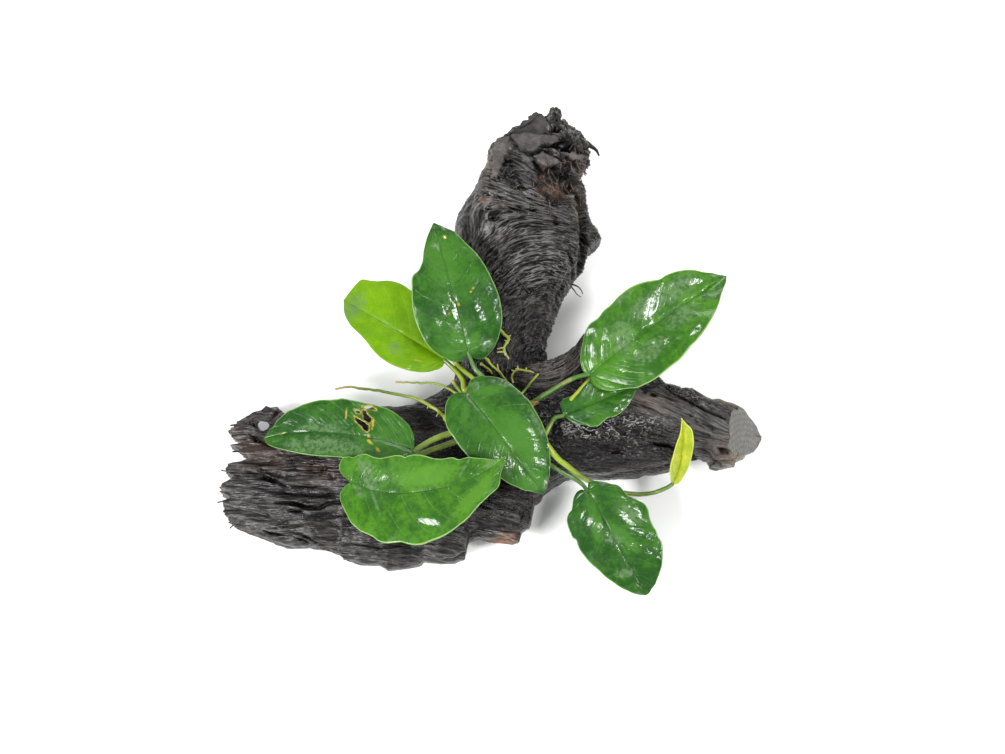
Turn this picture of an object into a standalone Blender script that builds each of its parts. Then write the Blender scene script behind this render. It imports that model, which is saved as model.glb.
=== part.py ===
"""Anubias grown on a forked piece of driftwood, at real size.

The driftwood lies on a flat surface. A slab-like limb runs to -X, a thicker one with a sawn end to +X
and a gnarled trunk to +Y; a broken spur stands at the fork. The plant's rhizome lies on the fork, with
its leaves on stems and its roots on the wood. Every length here is in millimetres, and build_mesh turns
it into metres. The origin is under the middle of the whole piece, on the surface that it rests on.
"""

import math
from dataclasses import dataclass

import bmesh
import bpy
import numpy as np
from mathutils import Vector
from mathutils.bvhtree import BVHTree

MM = 0.001
ORIGIN = (1.0, 0.75)           # the middle of the whole piece, in the drawing's own X and Y
GAP = 0.3                      # clearance between pieces that touch
BLADE_THICKNESS = 0.9
RHIZOME_RADIUS = 3.4
RHIZOME_SIDES = 10
RHIZOME_SWELL = (1.0, 0.88)    # its rings swell and narrow by turns, where old leaves stood
STEM_SIDES = 7
STEM_SPACING = 4.2             # between the rings of a stem
ROOT_SIDES = 6
ROOT_SPACING = 2.6             # between the rings of a root and of the rhizome
SLIVER = 8e-6                  # metres: edges shorter than this are merged after a cut
FOOT_LEVEL = 0.0               # the wood is worn flat here, where it rests

# The fork: where the three cuts between the limbs meet, and the heading of each cut in degrees.
FORK = (5.0, -10.0)
CUT_LEFT_UPPER = 183.0
CUT_RIGHT_UPPER = 8.0
CUT_LEFT_RIGHT = -80.0
CUT_REACH = 260.0

# Limb stations: place along the limb, far side, near side, underside and top.
SLAB = (
    (26, -2, -84, 5, 26), (12, -4, -86, 3, 27), (-2, -5, -84, 2, 27), (-12, -9, -92, 0, 27),
    (-24, -17, -94, -1, 26), (-38, -24, -96, -1, 25), (-56, -25.5, -94, -1, 24), (-68, -26, -90, -1, 23),
    (-80, -25.5, -86, 0, 22), (-92, -25, -84, 1, 20), (-102, -24, -81, 2, 17), (-112, -26, -77, 4, 14),
)
# The slab's torn end: share of the way from far to near side, and how far the wood reaches there.
SLAB_END = (
    (0.0, -104), (0.10, -113), (0.19, -115), (0.26, -110), (0.31, -114.5), (0.38, -108), (0.42, -105),
    (0.46, -114), (0.53, -116.5), (0.58, -112), (0.64, -116.5), (0.72, -117.5), (0.77, -113.5),
    (0.81, -117), (0.92, -116), (1.0, -110),
)
SLAB_END_START = -88.0         # the torn end's unevenness begins here

LOG = (
    (-16, 2, -76, 4, 26), (-4, 0, -72, 3, 28), (8, -2, -68, 2, 30), (17, -3, -67, 1, 31),
    (25, -4, -62, 0, 31), (34, -6, -56.5, -1, 31), (46, -10, -54.6, -1, 31), (60, -11.7, -54.8, -1, 31),
    (74, -13, -53.5, -1, 31), (84, -17, -48.5, 0, 30), (92, -20.5, -47.2, 1, 29), (99, -24, -52, 2, 29),
    (106, -27, -50.5, 2, 29), (113, -30, -45, 3, 28), (119.5, -35, -40, 5, 24),
)
SAWN_POINT = (104.0, -34.0, 28.0)
SAWN_NORMAL = (0.78, -0.10, 0.61)

TRUNK = (
    (-30, -14, 26, 4, 26), (-18, -14, 23, 3, 28), (-6, -13, 21.5, 2, 30), (4, -11.5, 24, 1, 32),
    (14, -9, 27, 0, 34), (24, -10.5, 31.5, -1, 37), (35, -14, 38, -1, 41), (46, -16.2, 43, -1, 44),
    (56, -16, 44, -1, 46), (66, -11.5, 41.5, 0, 46), (75, -5.5, 38.5, 2, 46), (84, -1.5, 40, 5, 46),
    (91, -0.3, 42, 8, 45), (96, 3, 40.5, 10, 43), (100, 9, 36, 13, 41), (104, 17, 31, 17, 38),
)

# The spur: route of its middle, half width and half depth.
SPUR = (
    ((11.0, -13.0, 26.2), 4.6, 3.2), ((18.5, -14.4, 27.7), 6.5, 4.5), ((26.0, -13.8, 28.7), 7.0, 4.9),
    ((33.5, -9.8, 29.5), 6.0, 4.2), ((38.8, -3.2, 30.5), 3.6, 2.8), ((41.2, 4.4, 31.5), 1.0, 0.9),
)

RHIZOME = ((-6.5, -18), (0.5, -25.5), (7.5, -32.3), (14.5, -39), (22.0, -46.4))

# Grain of each limb: ridges round it, their depth and how much they wind along it.
SLAB_GRAIN = (7, 2.2, 0.012)
LOG_GRAIN = (6, 2.2, 0.01)
TRUNK_GRAIN = (6, 2.4, 0.03)
SLAB_SQUARENESS = 0.72         # exponent of a limb's cross section: 1 is an ellipse, less is boxier
TRUNK_SQUARENESS = 0.85

# Where each limb's rings of points lie along it.
SLAB_RINGS = (26, 16, 8, 2, -3, -7, -12, -20, -30, -42, -54, -66, -78, -88, -97, -104, -112)
LOG_RINGS = (-16, -6, 4, 13, 22, 32, 42, 54, 66, 76, 85, 92, 98, 104, 109, 114, 119.5)
TRUNK_RINGS = (-30, -18, -8, 0, 8, 16, 24, 32, 40, 48, 56, 64, 71, 78, 85, 91, 96, 100, 104)
LOG_SIDES = 28
TRUNK_SIDES = 30

# The hole that a lost branch left through the slab: middle, half length, half width and sides.
KNOT_HOLE = (-99.8, -34.0)
KNOT_HALF = (2.6, 1.9)
KNOT_SIDES = 10

# Cracks: route as (x, y, height of the surface), width and depth.
SLAB_CRACKS = (
    (((-95, -67, 21), (-89, -68.4, 22), (-83, -70.4, 22), (-76, -70.8, 23), (-66, -68.6, 23)), 1.7, 4.5),
    (((-108, -33.5, 17), (-102, -38.6, 19), (-92, -44.4, 21)), 1.5, 4.0),
    (((-100, -53.4, 19), (-91, -54.4, 21), (-80, -57.0, 22)), 1.8, 4.0),
    (((-88, -63.2, 21), (-80, -63.8, 22), (-72, -66.0, 23)), 3.2, 2.4),
)
LOG_CRACKS = (
    (((66, -42.6, 31), (72, -44.6, 31), (78, -46.2, 29)), 1.6, 4.5),
    (((86, -44.4, 27), (91, -47.0, 26), (96, -50.4, 24)), 1.8, 5.0),
    (((75, -17.0, 27), (80, -22.0, 30), (86.5, -27.0, 30), (93, -31.4, 29)), 2.0, 4.4),
)
TRUNK_CRACKS = (
    (((37.6, 65.5, 37), (39.4, 57.5, 37), (40.4, 49.0, 36), (41.4, 42.0, 33)), 1.7, 8.0),
    (((-4, 56.5, 42), (8, 57.6, 46), (22, 57.0, 47)), 1.5, 2.6),
)

# Lumps that stand on the trunk, and hollows in it and in the slab: middle, half sizes and turn in degrees.
TRUNK_LUMPS = (
    ((27.5, 100.5, 38), (3.6, 8.4, 5.0), -8), ((42.0, 56.0, 24), (3.4, 16.0, 12.0), 8),
    ((44.4, 49.5, 24), (4.6, 5.2, 9.0), 0), ((13.5, 91.0, 43), (10.0, 7.5, 3.5), 25),
    ((24.0, 78.0, 45.5), (6.5, 4.5, 2.6), 0), ((36.0, 83.0, 42), (7.0, 3.6, 3.4), -15),
)
TRUNK_HOLLOWS = (
    ((33.0, 88.4, 45.0), (6.0, 2.0, 6.0), -5), ((28.6, 69.0, 47.5), (6.2, 6.4, 7.0), 10),
    ((40.0, 72.5, 34.0), (5.0, 4.0, 9.0), 0),
)
SLAB_HOLLOWS = (
    ((-5.0, -88.5, 12), (6.5, 6.0, 30), 20), ((21, -92, 12), (9, 7.5, 30), -30),
)

DARK_LEAF = ((0.030, 0.105, 0.022), 0.28)
MID_LEAF = ((0.045, 0.190, 0.020), 0.30)
LIGHT_LEAF = ((0.100, 0.300, 0.018), 0.34)
YOUNG_LEAF = ((0.560, 0.640, 0.040), 0.35)
STEM_GREEN = ((0.180, 0.330, 0.030), 0.40)
ROOT_GREEN = ((0.330, 0.420, 0.090), 0.50)
WOOD_DARK = ((0.026, 0.022, 0.022), 0.55)
WOOD_GREY = ((0.075, 0.062, 0.055), 0.70)
RHIZOME_GREEN = ((0.110, 0.170, 0.030), 0.50)


@dataclass
class Leaf:
    """A leaf blade: where it starts and ends, its half widths, and how it is bent."""

    name: str
    base: tuple
    tip: tuple
    left: tuple                # margin on the left of the midrib, looking from base to tip
    right: tuple               # each margin: half width, then its share near the stem and near the tip
    finish: tuple
    lobe: float = 3.0          # how far the two lobes reach behind the stem's end
    belly: float = 0.40        # share of the length where the blade is widest
    bend: float = 0.0          # sideways bow of the midrib
    arch: float = 3.0          # upward bow of the midrib
    fold: float = 6.0          # degrees that each half rises from the midrib
    roll: float = 0.0          # degrees that the whole blade leans about its midrib
    wave: float = 0.0          # height of the ripples along the margin
    ripples: float = 3.0
    tears: tuple = ()          # torn openings: corners, in lengthwise and crosswise measures of the blade
    mesh: tuple = (11, 3)      # points along each margin, and faces from the midrib to it


TEARS = (
    ((18.6, -3.4), (26.0, -9.6), (25.4, -11.4), (17.6, -8.0)),
    ((17.8, -9.4), (23.0, -11.8), (22.6, -14.0), (17.6, -13.0)),
    ((24.0, -12.4), (27.0, -12.8), (25.8, -15.0), (23.6, -14.6)),
)

LEAVES = (
    Leaf("leaf_top", (-10.0, -5.6, 41), (-24.8, 49.0, 50), (18.6, 0.96, 0.47), (18.9, 0.96, 0.60), DARK_LEAF,
         lobe=3.4, arch=5.0),
    Leaf("leaf_yellow_green", (-20.6, -7.0, 32), (-64.7, 20.6, 29), (13.0, 0.85, 0.62), (19.4, 0.85, 0.84),
         LIGHT_LEAF, lobe=1.5, belly=0.47, arch=3.0, fold=8.0, wave=0.9),
    Leaf("leaf_right_large", (42.3, -17.0, 44), (100.7, 24.2, 52), (19.2, 0.72, 0.64), (17.6, 0.84, 0.66),
         MID_LEAF, lobe=2.5, belly=0.42, arch=6.0, wave=0.5),
    Leaf("leaf_right_small", (31.5, -33.5, 37), (66.0, -20.0, 38), (11.5, 0.90, 0.62), (9.6, 0.95, 0.66),
         DARK_LEAF, lobe=1.6, arch=2.0, fold=10.0),
    Leaf("leaf_centre", (-10.0, -26.1, 44), (22.2, -67.1, 36), (19.5, 0.95, 0.56), (16.4, 1.02, 0.56),
         DARK_LEAF, lobe=3.9, belly=0.33, arch=4.0),
    Leaf("leaf_front", (-58.8, -62.7, 38), (6.0, -54.4, 50), (17.2, 0.98, 0.54), (21.0, 1.08, 0.64),
         MID_LEAF, lobe=4.6, belly=0.34, bend=-10.2, arch=5.0, wave=0.8),
    Leaf("leaf_torn", (-33.3, -48.6, 34), (-97.7, -41.2, 27), (9.6, 0.95, 0.66), (15.8, 0.92, 0.60),
         DARK_LEAF, lobe=1.4, belly=0.45, bend=-4.4, arch=3.0, tears=TEARS),
    Leaf("leaf_lower", (41.7, -64.4, 27), (66.9, -106.8, 11), (17.4, 0.94, 0.62), (15.0, 0.94, 0.62),
         DARK_LEAF, lobe=2.6, belly=0.42, arch=4.0, wave=0.9, ripples=4.0),
    Leaf("leaf_young", (78.5, -60.4, 24), (80.8, -36.8, 46), (2.8, 1.0, 0.45), (7.2, 0.66, 0.62), YOUNG_LEAF,
         lobe=0.6, belly=0.42, arch=1.0, fold=32.0, mesh=(7, 2)),
)

# Leaf stems: share of the rhizome's length where each starts, its route, and both radii.
STEMS = (
    ("stem_top", 0.05, ((-6.0, -14.0, 36.5), (-8.4, -9.6, 38.5), (-9.9, -6.8, 39.6)), 1.2, 0.9),
    ("stem_yellow_green", 0.0, ((-12.5, -15.8, 32), (-17.3, -10.1, 31.5), (-20.2, -7.6, 31)), 1.3, 1.0),
    ("stem_right_large", 0.55, ((15, -29.0, 35.5), (22, -25.3, 38), (31.7, -20.1, 41.5), (37.3, -17.8, 43),
                                (41.4, -17.0, 43.2)), 1.4, 1.0),
    ("stem_right_small", 0.90, ((23.2, -41.0, 35), (25.6, -37.0, 35.5), (28.0, -33.9, 36),
                                (30.6, -33.3, 36.3)), 1.2, 0.9),
    ("stem_centre", 0.34, ((-3.8, -24.0, 40), (-8.0, -25.0, 42.4)), 1.2, 1.0),
    ("stem_front", 0.70, ((0.0, -41.0, 32.5), (-10, -42.4, 31.5), (-24.8, -46.6, 29.5), (-33, -49.6, 29),
                          (-43, -53.2, 30), (-52, -58.4, 34), (-58.0, -62.0, 36.8)), 1.4, 1.1),
    ("stem_torn", 0.50, ((-3.5, -37.0, 35), (-12.4, -39.2, 34.5), (-25.2, -43.6, 34), (-32.4, -47.6, 33.2)),
     1.6, 1.2),
    ("stem_lower", 0.96, ((21.5, -51.4, 34.5), (27.0, -55.4, 34), (32.5, -58.4, 32.5), (38.4, -61.4, 30),
                          (41.0, -63.6, 27)), 1.1, 0.9),
    ("stem_young", 1.0, ((28.6, -52.4, 37.0), (33.2, -55.4, 34.5), (37.4, -57.8, 29.5), (42.8, -59.3, 22.5),
                         (49.5, -60.7, 18), (58.3, -62.9, 15.5), (68.3, -63.2, 15.5), (75.0, -61.8, 18.5),
                         (78.2, -60.9, 22.6)), 1.35, 0.9),
    ("stem_stub_long", 0.16, ((-7.5, -17.4, 38.0), (-13.0, -12.0, 35.0), (-15.8, -8.8, 34.0)), 1.1, 0.9),
    ("stem_stub_short", 0.30, ((-9.0, -25.4, 31.0), (-13.6, -20.6, 30.2), (-16.6, -16.4, 29.8)), 1.1, 0.8),
)

# Roots: route as (x, y, height), where None means that the root lies on the wood; both radii.
ROOTS = (
    ("root_long", ((-8, -36.5, None), (-15.5, -34.5, None), (-23.4, -28.8, 28), (-31.8, -23.6, 26),
                   (-43.8, -19.4, 21), (-55.5, -16.5, 17), (-64.2, -14.8, 14), (-68.8, -15.2, 12)), 0.9, 0.5),
    ("root_upper", ((-7.5, -25.6, None), (-15.6, -21.0, 28), (-23.1, -16.4, 25), (-32, -15.0, 22),
                    (-41.9, -13.3, 17)), 0.65, 0.4),
    ("root_kinked", ((4.1, 5.5, None), (6.5, 2.8, None), (7.8, 1.0, None), (6.3, -0.8, None),
                     (5.7, -2.6, None), (6.5, -5.3, None)), 0.7, 0.6),
    ("root_bundle_long", ((-2.6, -6.1, None), (0.9, -10.0, None), (3.9, -12.7, None), (6.8, -16.2, None),
                          (8.2, -20.0, None)), 0.7, 0.6),
    ("root_bundle_short", ((-4.3, -8.4, None), (-1.3, -11.0, None), (1.8, -13.6, None), (4.6, -17.4, None),
                           (6.2, -21.5, None)), 0.65, 0.55),
    ("root_forked", ((17.2, -12.8, None), (14.5, -12.2, None), (11.4, -11.6, None), (9.2, -13.4, None),
                     (9.6, -17.0, None)), 0.6, 0.6),
    ("root_straight", ((20.4, -14.2, None), (16.8, -18.2, None), (13.4, -22.2, None)), 0.55, 0.5),
)


def clear_scene():
    """Remove every object that the file starts with."""
    for found in list(bpy.data.objects):
        bpy.data.objects.remove(found, do_unlink=True)


def material(name, finish):
    """A plain material with the piece's colour and roughness."""
    colour, roughness = finish
    made = bpy.data.materials.get(name) or bpy.data.materials.new(name)
    made.use_nodes = True
    shader = made.node_tree.nodes["Principled BSDF"]
    shader.inputs["Base Color"].default_value = (*colour, 1.0)
    shader.inputs["Roughness"].default_value = roughness
    shader.inputs["Metallic"].default_value = 0.0
    return made


def build_mesh(name, points, faces, finish):
    """An object from points in millimetres, with coinciding points merged and its faces turned outwards."""
    mesh = bpy.data.meshes.new(name)
    mesh.from_pydata([((x - ORIGIN[0]) * MM, (y - ORIGIN[1]) * MM, z * MM) for x, y, z in points], [], faces)
    shell = bmesh.new()
    shell.from_mesh(mesh)
    bmesh.ops.remove_doubles(shell, verts=shell.verts, dist=1e-6)
    bmesh.ops.recalc_face_normals(shell, faces=shell.faces)
    if shell.calc_volume(signed=True) < 0:
        bmesh.ops.reverse_faces(shell, faces=shell.faces)
    shell.to_mesh(mesh)
    shell.free()
    made = bpy.data.objects.new(name, mesh)
    bpy.context.scene.collection.objects.link(made)
    made.data.materials.append(material(name, finish))
    return made


def settle(target):
    """Apply the object's modifiers to its mesh, and drop slivers."""
    evaluated = target.evaluated_get(bpy.context.evaluated_depsgraph_get())
    mesh = bpy.data.meshes.new_from_object(evaluated)
    shell = bmesh.new()
    shell.from_mesh(mesh)
    bmesh.ops.triangulate(shell, faces=shell.faces)
    bmesh.ops.remove_doubles(shell, verts=shell.verts, dist=SLIVER)
    bmesh.ops.dissolve_degenerate(shell, edges=shell.edges, dist=SLIVER)
    shell.to_mesh(mesh)
    shell.free()
    target.modifiers.clear()
    target.data = mesh


def combine(target, tool, operation):
    """Join the tool to the target, or cut it away, and remove the tool."""
    step = target.modifiers.new(operation.title(), "BOOLEAN")
    step.operation = operation
    step.object = tool
    bpy.context.view_layer.update()
    settle(target)
    bpy.data.objects.remove(tool, do_unlink=True)


def fit_on(target, carriers):
    """Cut the target back where it would enter the pieces that carry it, with a gap to each."""
    for carrier in carriers:
        grown = carrier.copy()
        grown.data = carrier.data.copy()
        bpy.context.scene.collection.objects.link(grown)
        places = [v.co + v.normal * GAP * 1.4 * MM for v in carrier.data.vertices]
        for v, place in zip(grown.data.vertices, places):
            v.co = place
        combine(target, grown, "DIFFERENCE")


def smooth(knots, values, at):
    """Values of a smooth curve through the knots, read at the given places."""
    knots = np.asarray(knots, float)
    values = np.asarray(values, float).reshape(len(knots), -1)
    at = np.clip(np.asarray(at, float), knots[0], knots[-1])
    slope = np.gradient(values, knots, axis=0)
    i = np.clip(np.searchsorted(knots, at, side="right") - 1, 0, len(knots) - 2)
    span = (knots[i + 1] - knots[i])[:, None]
    t = (at - knots[i])[:, None] / span
    return ((2 * t**3 - 3 * t**2 + 1) * values[i] + (t**3 - 2 * t**2 + t) * span * slope[i]
            + (3 * t**2 - 2 * t**3) * values[i + 1] + (t**3 - t**2) * span * slope[i + 1])


def power(value, exponent):
    """The value raised to a power, with its sign kept."""
    return np.sign(value) * np.abs(value) ** exponent


def relief(along, angle, ridges, depth, lean):
    """Height of the weathered surface: ridges along the grain with sharp grooves, and slow lumps."""
    grain = np.abs(np.sin(ridges * angle / 2 + lean * along + 0.5 * np.sin(along / 11.0)))
    lumps = np.sin(along / 8.3 + 2.0 * angle) + 0.6 * np.sin(along / 4.7 - 3.0 * angle)
    return depth * (grain**0.6 - 0.62) + 0.35 * depth * lumps


def limb_points(stations, places, angles, grain, squareness):
    """Rings of points round a limb: place along it, across it and height, one row for each place."""
    rows = sorted(stations)
    far, near, under, top = smooth([row[0] for row in rows], [row[1:] for row in rows], places).T
    middle, half = ((far + near) / 2)[:, None], ((far - near) / 2)[:, None]
    level, rise = ((top + under) / 2)[:, None], ((top - under) / 2)[:, None]
    c, s = np.cos(angles)[None, :], np.sin(angles)[None, :]
    out_across, out_up = c * np.abs(rise), s * np.abs(half)
    length = np.hypot(out_across, out_up)
    bump = relief(places[:, None], angles[None, :], *grain) * np.minimum(1.0, rise / 8.0)
    across = middle + half * power(c, squareness) + out_across / length * np.sign(half) * bump
    height = level + rise * power(s, squareness) + out_up / length * bump
    along = np.broadcast_to(places[:, None], across.shape)
    return np.stack([along, across, np.maximum(height, FOOT_LEVEL)], axis=-1)


def wall(rings, count):
    """Quads between rings of points, each of the same count."""
    pairs = [(k, (k + 1) % count) for k in range(count)]
    return [(start + a, start + b, start + count + b, start + count + a)
            for start in range(0, (rings - 1) * count, count) for a, b in pairs]


def limb_faces(rings, count):
    """Faces of a limb: quads between the rings, and rungs across both ends."""
    faces = wall(rings, count)
    for start in (0, (rings - 1) * count):
        rungs = [(start + k, start + k + 1, start + count - k - 1, start + (count - k) % count)
                 for k in range(count // 2)]
        faces += [tuple(dict.fromkeys(rung)) for rung in rungs]
    return faces


def wedge(first, last):
    """A tall prism that keeps one limb's share of the fork, between two cut headings in degrees."""
    headings = np.radians(np.linspace(first, last, 4))
    middle = math.radians((first + last) / 2)
    step = GAP / 2 / math.sin(math.radians(abs(last - first)) / 2)
    apex = np.array(FORK) + step * np.array([math.cos(middle), math.sin(middle)])
    outline = [apex] + [apex + CUT_REACH * np.array([math.cos(h), math.sin(h)]) for h in headings]
    low, high = -50.0, 120.0
    points = [(x, y, low) for x, y in outline] + [(x, y, high) for x, y in outline]
    n = len(outline)
    faces = [tuple(range(n))[::-1], tuple(range(n, 2 * n))]
    faces += [(k, (k + 1) % n, n + (k + 1) % n, n + k) for k in range(n)]
    return build_mesh("cutter", points, faces, WOOD_DARK)


def crack(points, width, depth):
    """A tool for a crack: a blade along the points (x, y, height of the surface), widest in the middle."""
    route = np.array(points, float)
    heading = np.gradient(route[:, :2], axis=0)
    heading /= np.linalg.norm(heading, axis=1)[:, None]
    side = np.stack([-heading[:, 1], heading[:, 0]], axis=1)
    taper = np.sin(np.linspace(0.12, math.pi - 0.12, len(route)))
    rows = []
    for (x, y, z), (sx, sy), share in zip(route, side, taper):
        w, d = width / 2 * share, depth * share
        rows += [(x + sx * w * 1.6, y + sy * w * 1.6, z + 4), (x - sx * w * 1.6, y - sy * w * 1.6, z + 4),
                 (x - sx * w * 0.4, y - sy * w * 0.4, z - d), (x + sx * w * 0.4, y + sy * w * 0.4, z - d)]
    faces = wall(len(route), 4) + [(0, 1, 2, 3), tuple(4 * len(route) - k for k in (1, 2, 3, 4))]
    return build_mesh("cutter", rows, faces, WOOD_DARK)


def lump(centre, size, turn=0.0, finish=WOOD_DARK):
    """A faceted boulder-like solid, to join as a lump or to cut away as a hollow."""
    shell = bmesh.new()
    bmesh.ops.create_icosphere(shell, subdivisions=2, radius=1.0)
    angle = math.radians(turn)
    points = []
    for v in shell.verts:
        uneven = 1.0 + 0.12 * math.sin(5.1 * v.co.x + 2.3) * math.cos(4.3 * v.co.y + v.co.z)
        x, y, z = (v.co[k] * size[k] * uneven for k in range(3))
        points.append((centre[0] + x * math.cos(angle) - y * math.sin(angle),
                       centre[1] + x * math.sin(angle) + y * math.cos(angle), centre[2] + z))
    faces = [tuple(v.index for v in f.verts) for f in shell.faces]
    shell.free()
    return build_mesh("tool", points, faces, finish)


def knot_hole():
    """The tool for the hole that a lost branch left through the slab."""
    (x, y), (long, wide), n = KNOT_HOLE, KNOT_HALF, KNOT_SIDES
    below, above = -5.0, 24.0
    ring = [(math.cos(a), math.sin(a)) for a in np.linspace(0, 2 * math.pi, n, endpoint=False)]
    points = [(x + long * c, y + wide * s, z) for z in (below, above) for c, s in ring]
    faces = [tuple(range(n))[::-1], tuple(range(n, 2 * n))]
    faces += [(k, (k + 1) % n, n + (k + 1) % n, n + k) for k in range(n)]
    return build_mesh("cutter", points, faces, WOOD_DARK)


def carve(made, lumps=(), hollows=(), cracks=()):
    """Join the lumps to a piece of wood, then cut its hollows and cracks."""
    for centre, size, turn in lumps:
        combine(made, lump(centre, size, turn), "UNION")
    for centre, size, turn in hollows:
        combine(made, lump(centre, size, turn), "DIFFERENCE")
    for points, width, depth in cracks:
        combine(made, crack(points, width, depth), "DIFFERENCE")


def make_slab():
    """The wide limb to -X: board-like, with a torn end, a knot hole, cracks and a broken near edge."""
    shares = np.array([share for share, _ in SLAB_END])
    far_side = np.arccos(power(1 - 2 * shares, 1 / SLAB_SQUARENESS))
    angles = np.concatenate([far_side, 2 * math.pi - far_side[-2:0:-1]])
    places = np.array(SLAB_RINGS, float)
    rings = limb_points(SLAB, places, angles, SLAB_GRAIN, SLAB_SQUARENESS)
    reach = np.interp((1 - power(np.cos(angles), SLAB_SQUARENESS)) / 2, shares, [x for _, x in SLAB_END])
    share = np.clip((SLAB_END_START - places) / (SLAB_END_START - places[-1]), 0, 1) ** 1.5
    rings[:, :, 0] += share[:, None] * (reach - places[-1])[None, :]
    made = build_mesh("trunk_left", rings.reshape(-1, 3), limb_faces(*rings.shape[:2]), WOOD_DARK)
    combine(made, wedge(CUT_LEFT_UPPER, 360 + CUT_LEFT_RIGHT), "INTERSECT")
    combine(made, knot_hole(), "DIFFERENCE")
    carve(made, hollows=SLAB_HOLLOWS, cracks=SLAB_CRACKS)
    return made


def make_log():
    """The thick limb to +X, with its oblique sawn end and its cracks."""
    angles = np.linspace(0, 2 * math.pi, LOG_SIDES, endpoint=False)
    rings = limb_points(LOG, np.array(LOG_RINGS, float), angles, LOG_GRAIN, SLAB_SQUARENESS)
    beyond = (rings - np.array(SAWN_POINT)) @ np.array(SAWN_NORMAL)
    rings[:, :, 0] -= np.maximum(beyond, 0) / SAWN_NORMAL[0]
    made = build_mesh("trunk_right", rings.reshape(-1, 3), limb_faces(*rings.shape[:2]), WOOD_DARK)
    combine(made, wedge(CUT_LEFT_RIGHT, CUT_RIGHT_UPPER), "INTERSECT")
    carve(made, cracks=LOG_CRACKS)
    return made


def make_trunk():
    """The gnarled limb to +Y: a narrow neck, a swelling with a bark ridge, and a rotted, flaking top."""
    angles = np.linspace(0, 2 * math.pi, TRUNK_SIDES, endpoint=False)
    rings = limb_points(TRUNK, np.array(TRUNK_RINGS, float), angles, TRUNK_GRAIN, TRUNK_SQUARENESS)
    rings = rings[:, :, [1, 0, 2]]
    made = build_mesh("trunk_upper", rings.reshape(-1, 3), limb_faces(*rings.shape[:2]), WOOD_DARK)
    combine(made, wedge(CUT_RIGHT_UPPER, CUT_LEFT_UPPER), "INTERSECT")
    carve(made, TRUNK_LUMPS, TRUNK_HOLLOWS, TRUNK_CRACKS)
    return made


def make_spur(carriers):
    """The stump of a lost branch at the fork: a broken lip that narrows to a splinter."""
    middles = np.array([centre for centre, _, _ in SPUR])
    headings = np.gradient(middles, axis=0)
    angles = np.linspace(0, 2 * math.pi, 12, endpoint=False)
    points = []
    for (centre, across, deep), heading in zip(SPUR, headings):
        side = np.cross((0, 0, 1), heading / np.linalg.norm(heading))
        for k, angle in enumerate(angles):
            uneven = 1 + 0.12 * (-1) ** k
            points.append(np.array(centre) + side * across * uneven * math.cos(angle)
                          + np.array((0, 0, deep * uneven * math.sin(angle))))
    made = build_mesh("broken_spur", points, limb_faces(len(SPUR), len(angles)), WOOD_GREY)
    fit_on(made, carriers)
    return made


def margin(leaf, side, count):
    """Places along and across the blade of its margin, from the notch at the stem to the tip."""
    length = math.dist(leaf.base, leaf.tip)
    width, early, late = leaf.left if side > 0 else leaf.right
    shape = np.array((
        (0.0, 0.0), (-0.85 * leaf.lobe, 0.13 * width), (-leaf.lobe, 0.40 * early * width),
        (0.03 * length, 0.76 * early * width), (0.45 * leaf.belly * length, (0.5 + 0.46 * early) * width),
        (leaf.belly * length, width), (0.64 * length, (0.32 + 0.92 * late) * width),
        (0.83 * length, late * width), (0.95 * length, 0.42 * late * width), (length, 0.0)))
    steps = np.concatenate([[0], np.cumsum(np.hypot(*np.diff(shape, axis=0).T))])
    return smooth(steps / steps[-1], shape, np.linspace(0, 1, count))


def blade_place(leaf, along, across, edge, share):
    """Points of the blade for places along and across it; edge runs 0 to 1 from midrib to margin."""
    base, tip = np.array(leaf.base, float), np.array(leaf.tip, float)
    length = np.linalg.norm(tip - base)
    heading = (tip - base) / length
    left = np.cross((0, 0, 1), heading)
    left /= np.linalg.norm(left)
    lean = math.radians(leaf.roll)
    up = np.cross(heading, left)
    left, up = left * math.cos(lean) + up * math.sin(lean), up * math.cos(lean) - left * math.sin(lean)
    s = along / length
    bow = leaf.bend * (1 - np.abs(2 * np.clip(s, 0, 1) - 1) ** 2.5)
    height = leaf.arch * 4 * s * (1 - s) + math.tan(math.radians(leaf.fold)) * np.abs(across)
    height = height + leaf.wave * edge**2 * np.sin(2 * math.pi * leaf.ripples * share + np.sign(across))
    return base + along[..., None] * heading + (across + bow)[..., None] * left + height[..., None] * up


def make_leaf(leaf):
    """A leaf blade: a sheet fanned from the midrib to the margin, given its thickness."""
    columns, rows = leaf.mesh
    length = math.dist(leaf.base, leaf.tip)
    share = np.linspace(0, 1, columns)
    root = length * np.clip((share - 0.2) / 0.8, 0, 1) ** 1.35
    edge = np.linspace(0, 1, rows + 1)
    points, faces = [], []
    for side in (1, -1):
        rim = margin(leaf, side, columns)
        along = root[:, None] + (rim[:, 0] - root)[:, None] * edge**1.2
        across = side * rim[:, 1][:, None] * edge
        grid = blade_place(leaf, along, across, edge[None, :], share[:, None])
        start = len(points)
        points += list(grid.reshape(-1, 3))
        for c in range(columns - 1):
            for r in range(rows):
                here, beyond = start + c * (rows + 1) + r, start + (c + 1) * (rows + 1) + r
                quad = (here, beyond, beyond + 1, here + 1)
                faces.append(quad if side < 0 else quad[::-1])
    made = build_mesh(leaf.name, points, faces, leaf.finish)
    sheet = bmesh.new()
    sheet.from_mesh(made.data)
    bmesh.ops.dissolve_degenerate(sheet, dist=1e-6, edges=sheet.edges)
    bmesh.ops.recalc_face_normals(sheet, faces=sheet.faces)
    sheet.to_mesh(made.data)
    sheet.free()
    wall = made.modifiers.new("Thickness", "SOLIDIFY")
    wall.thickness = BLADE_THICKNESS * MM
    wall.offset = 0.0
    bpy.context.view_layer.update()
    settle(made)
    for corners in leaf.tears:
        combine(made, tear(leaf, corners), "DIFFERENCE")


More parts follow.
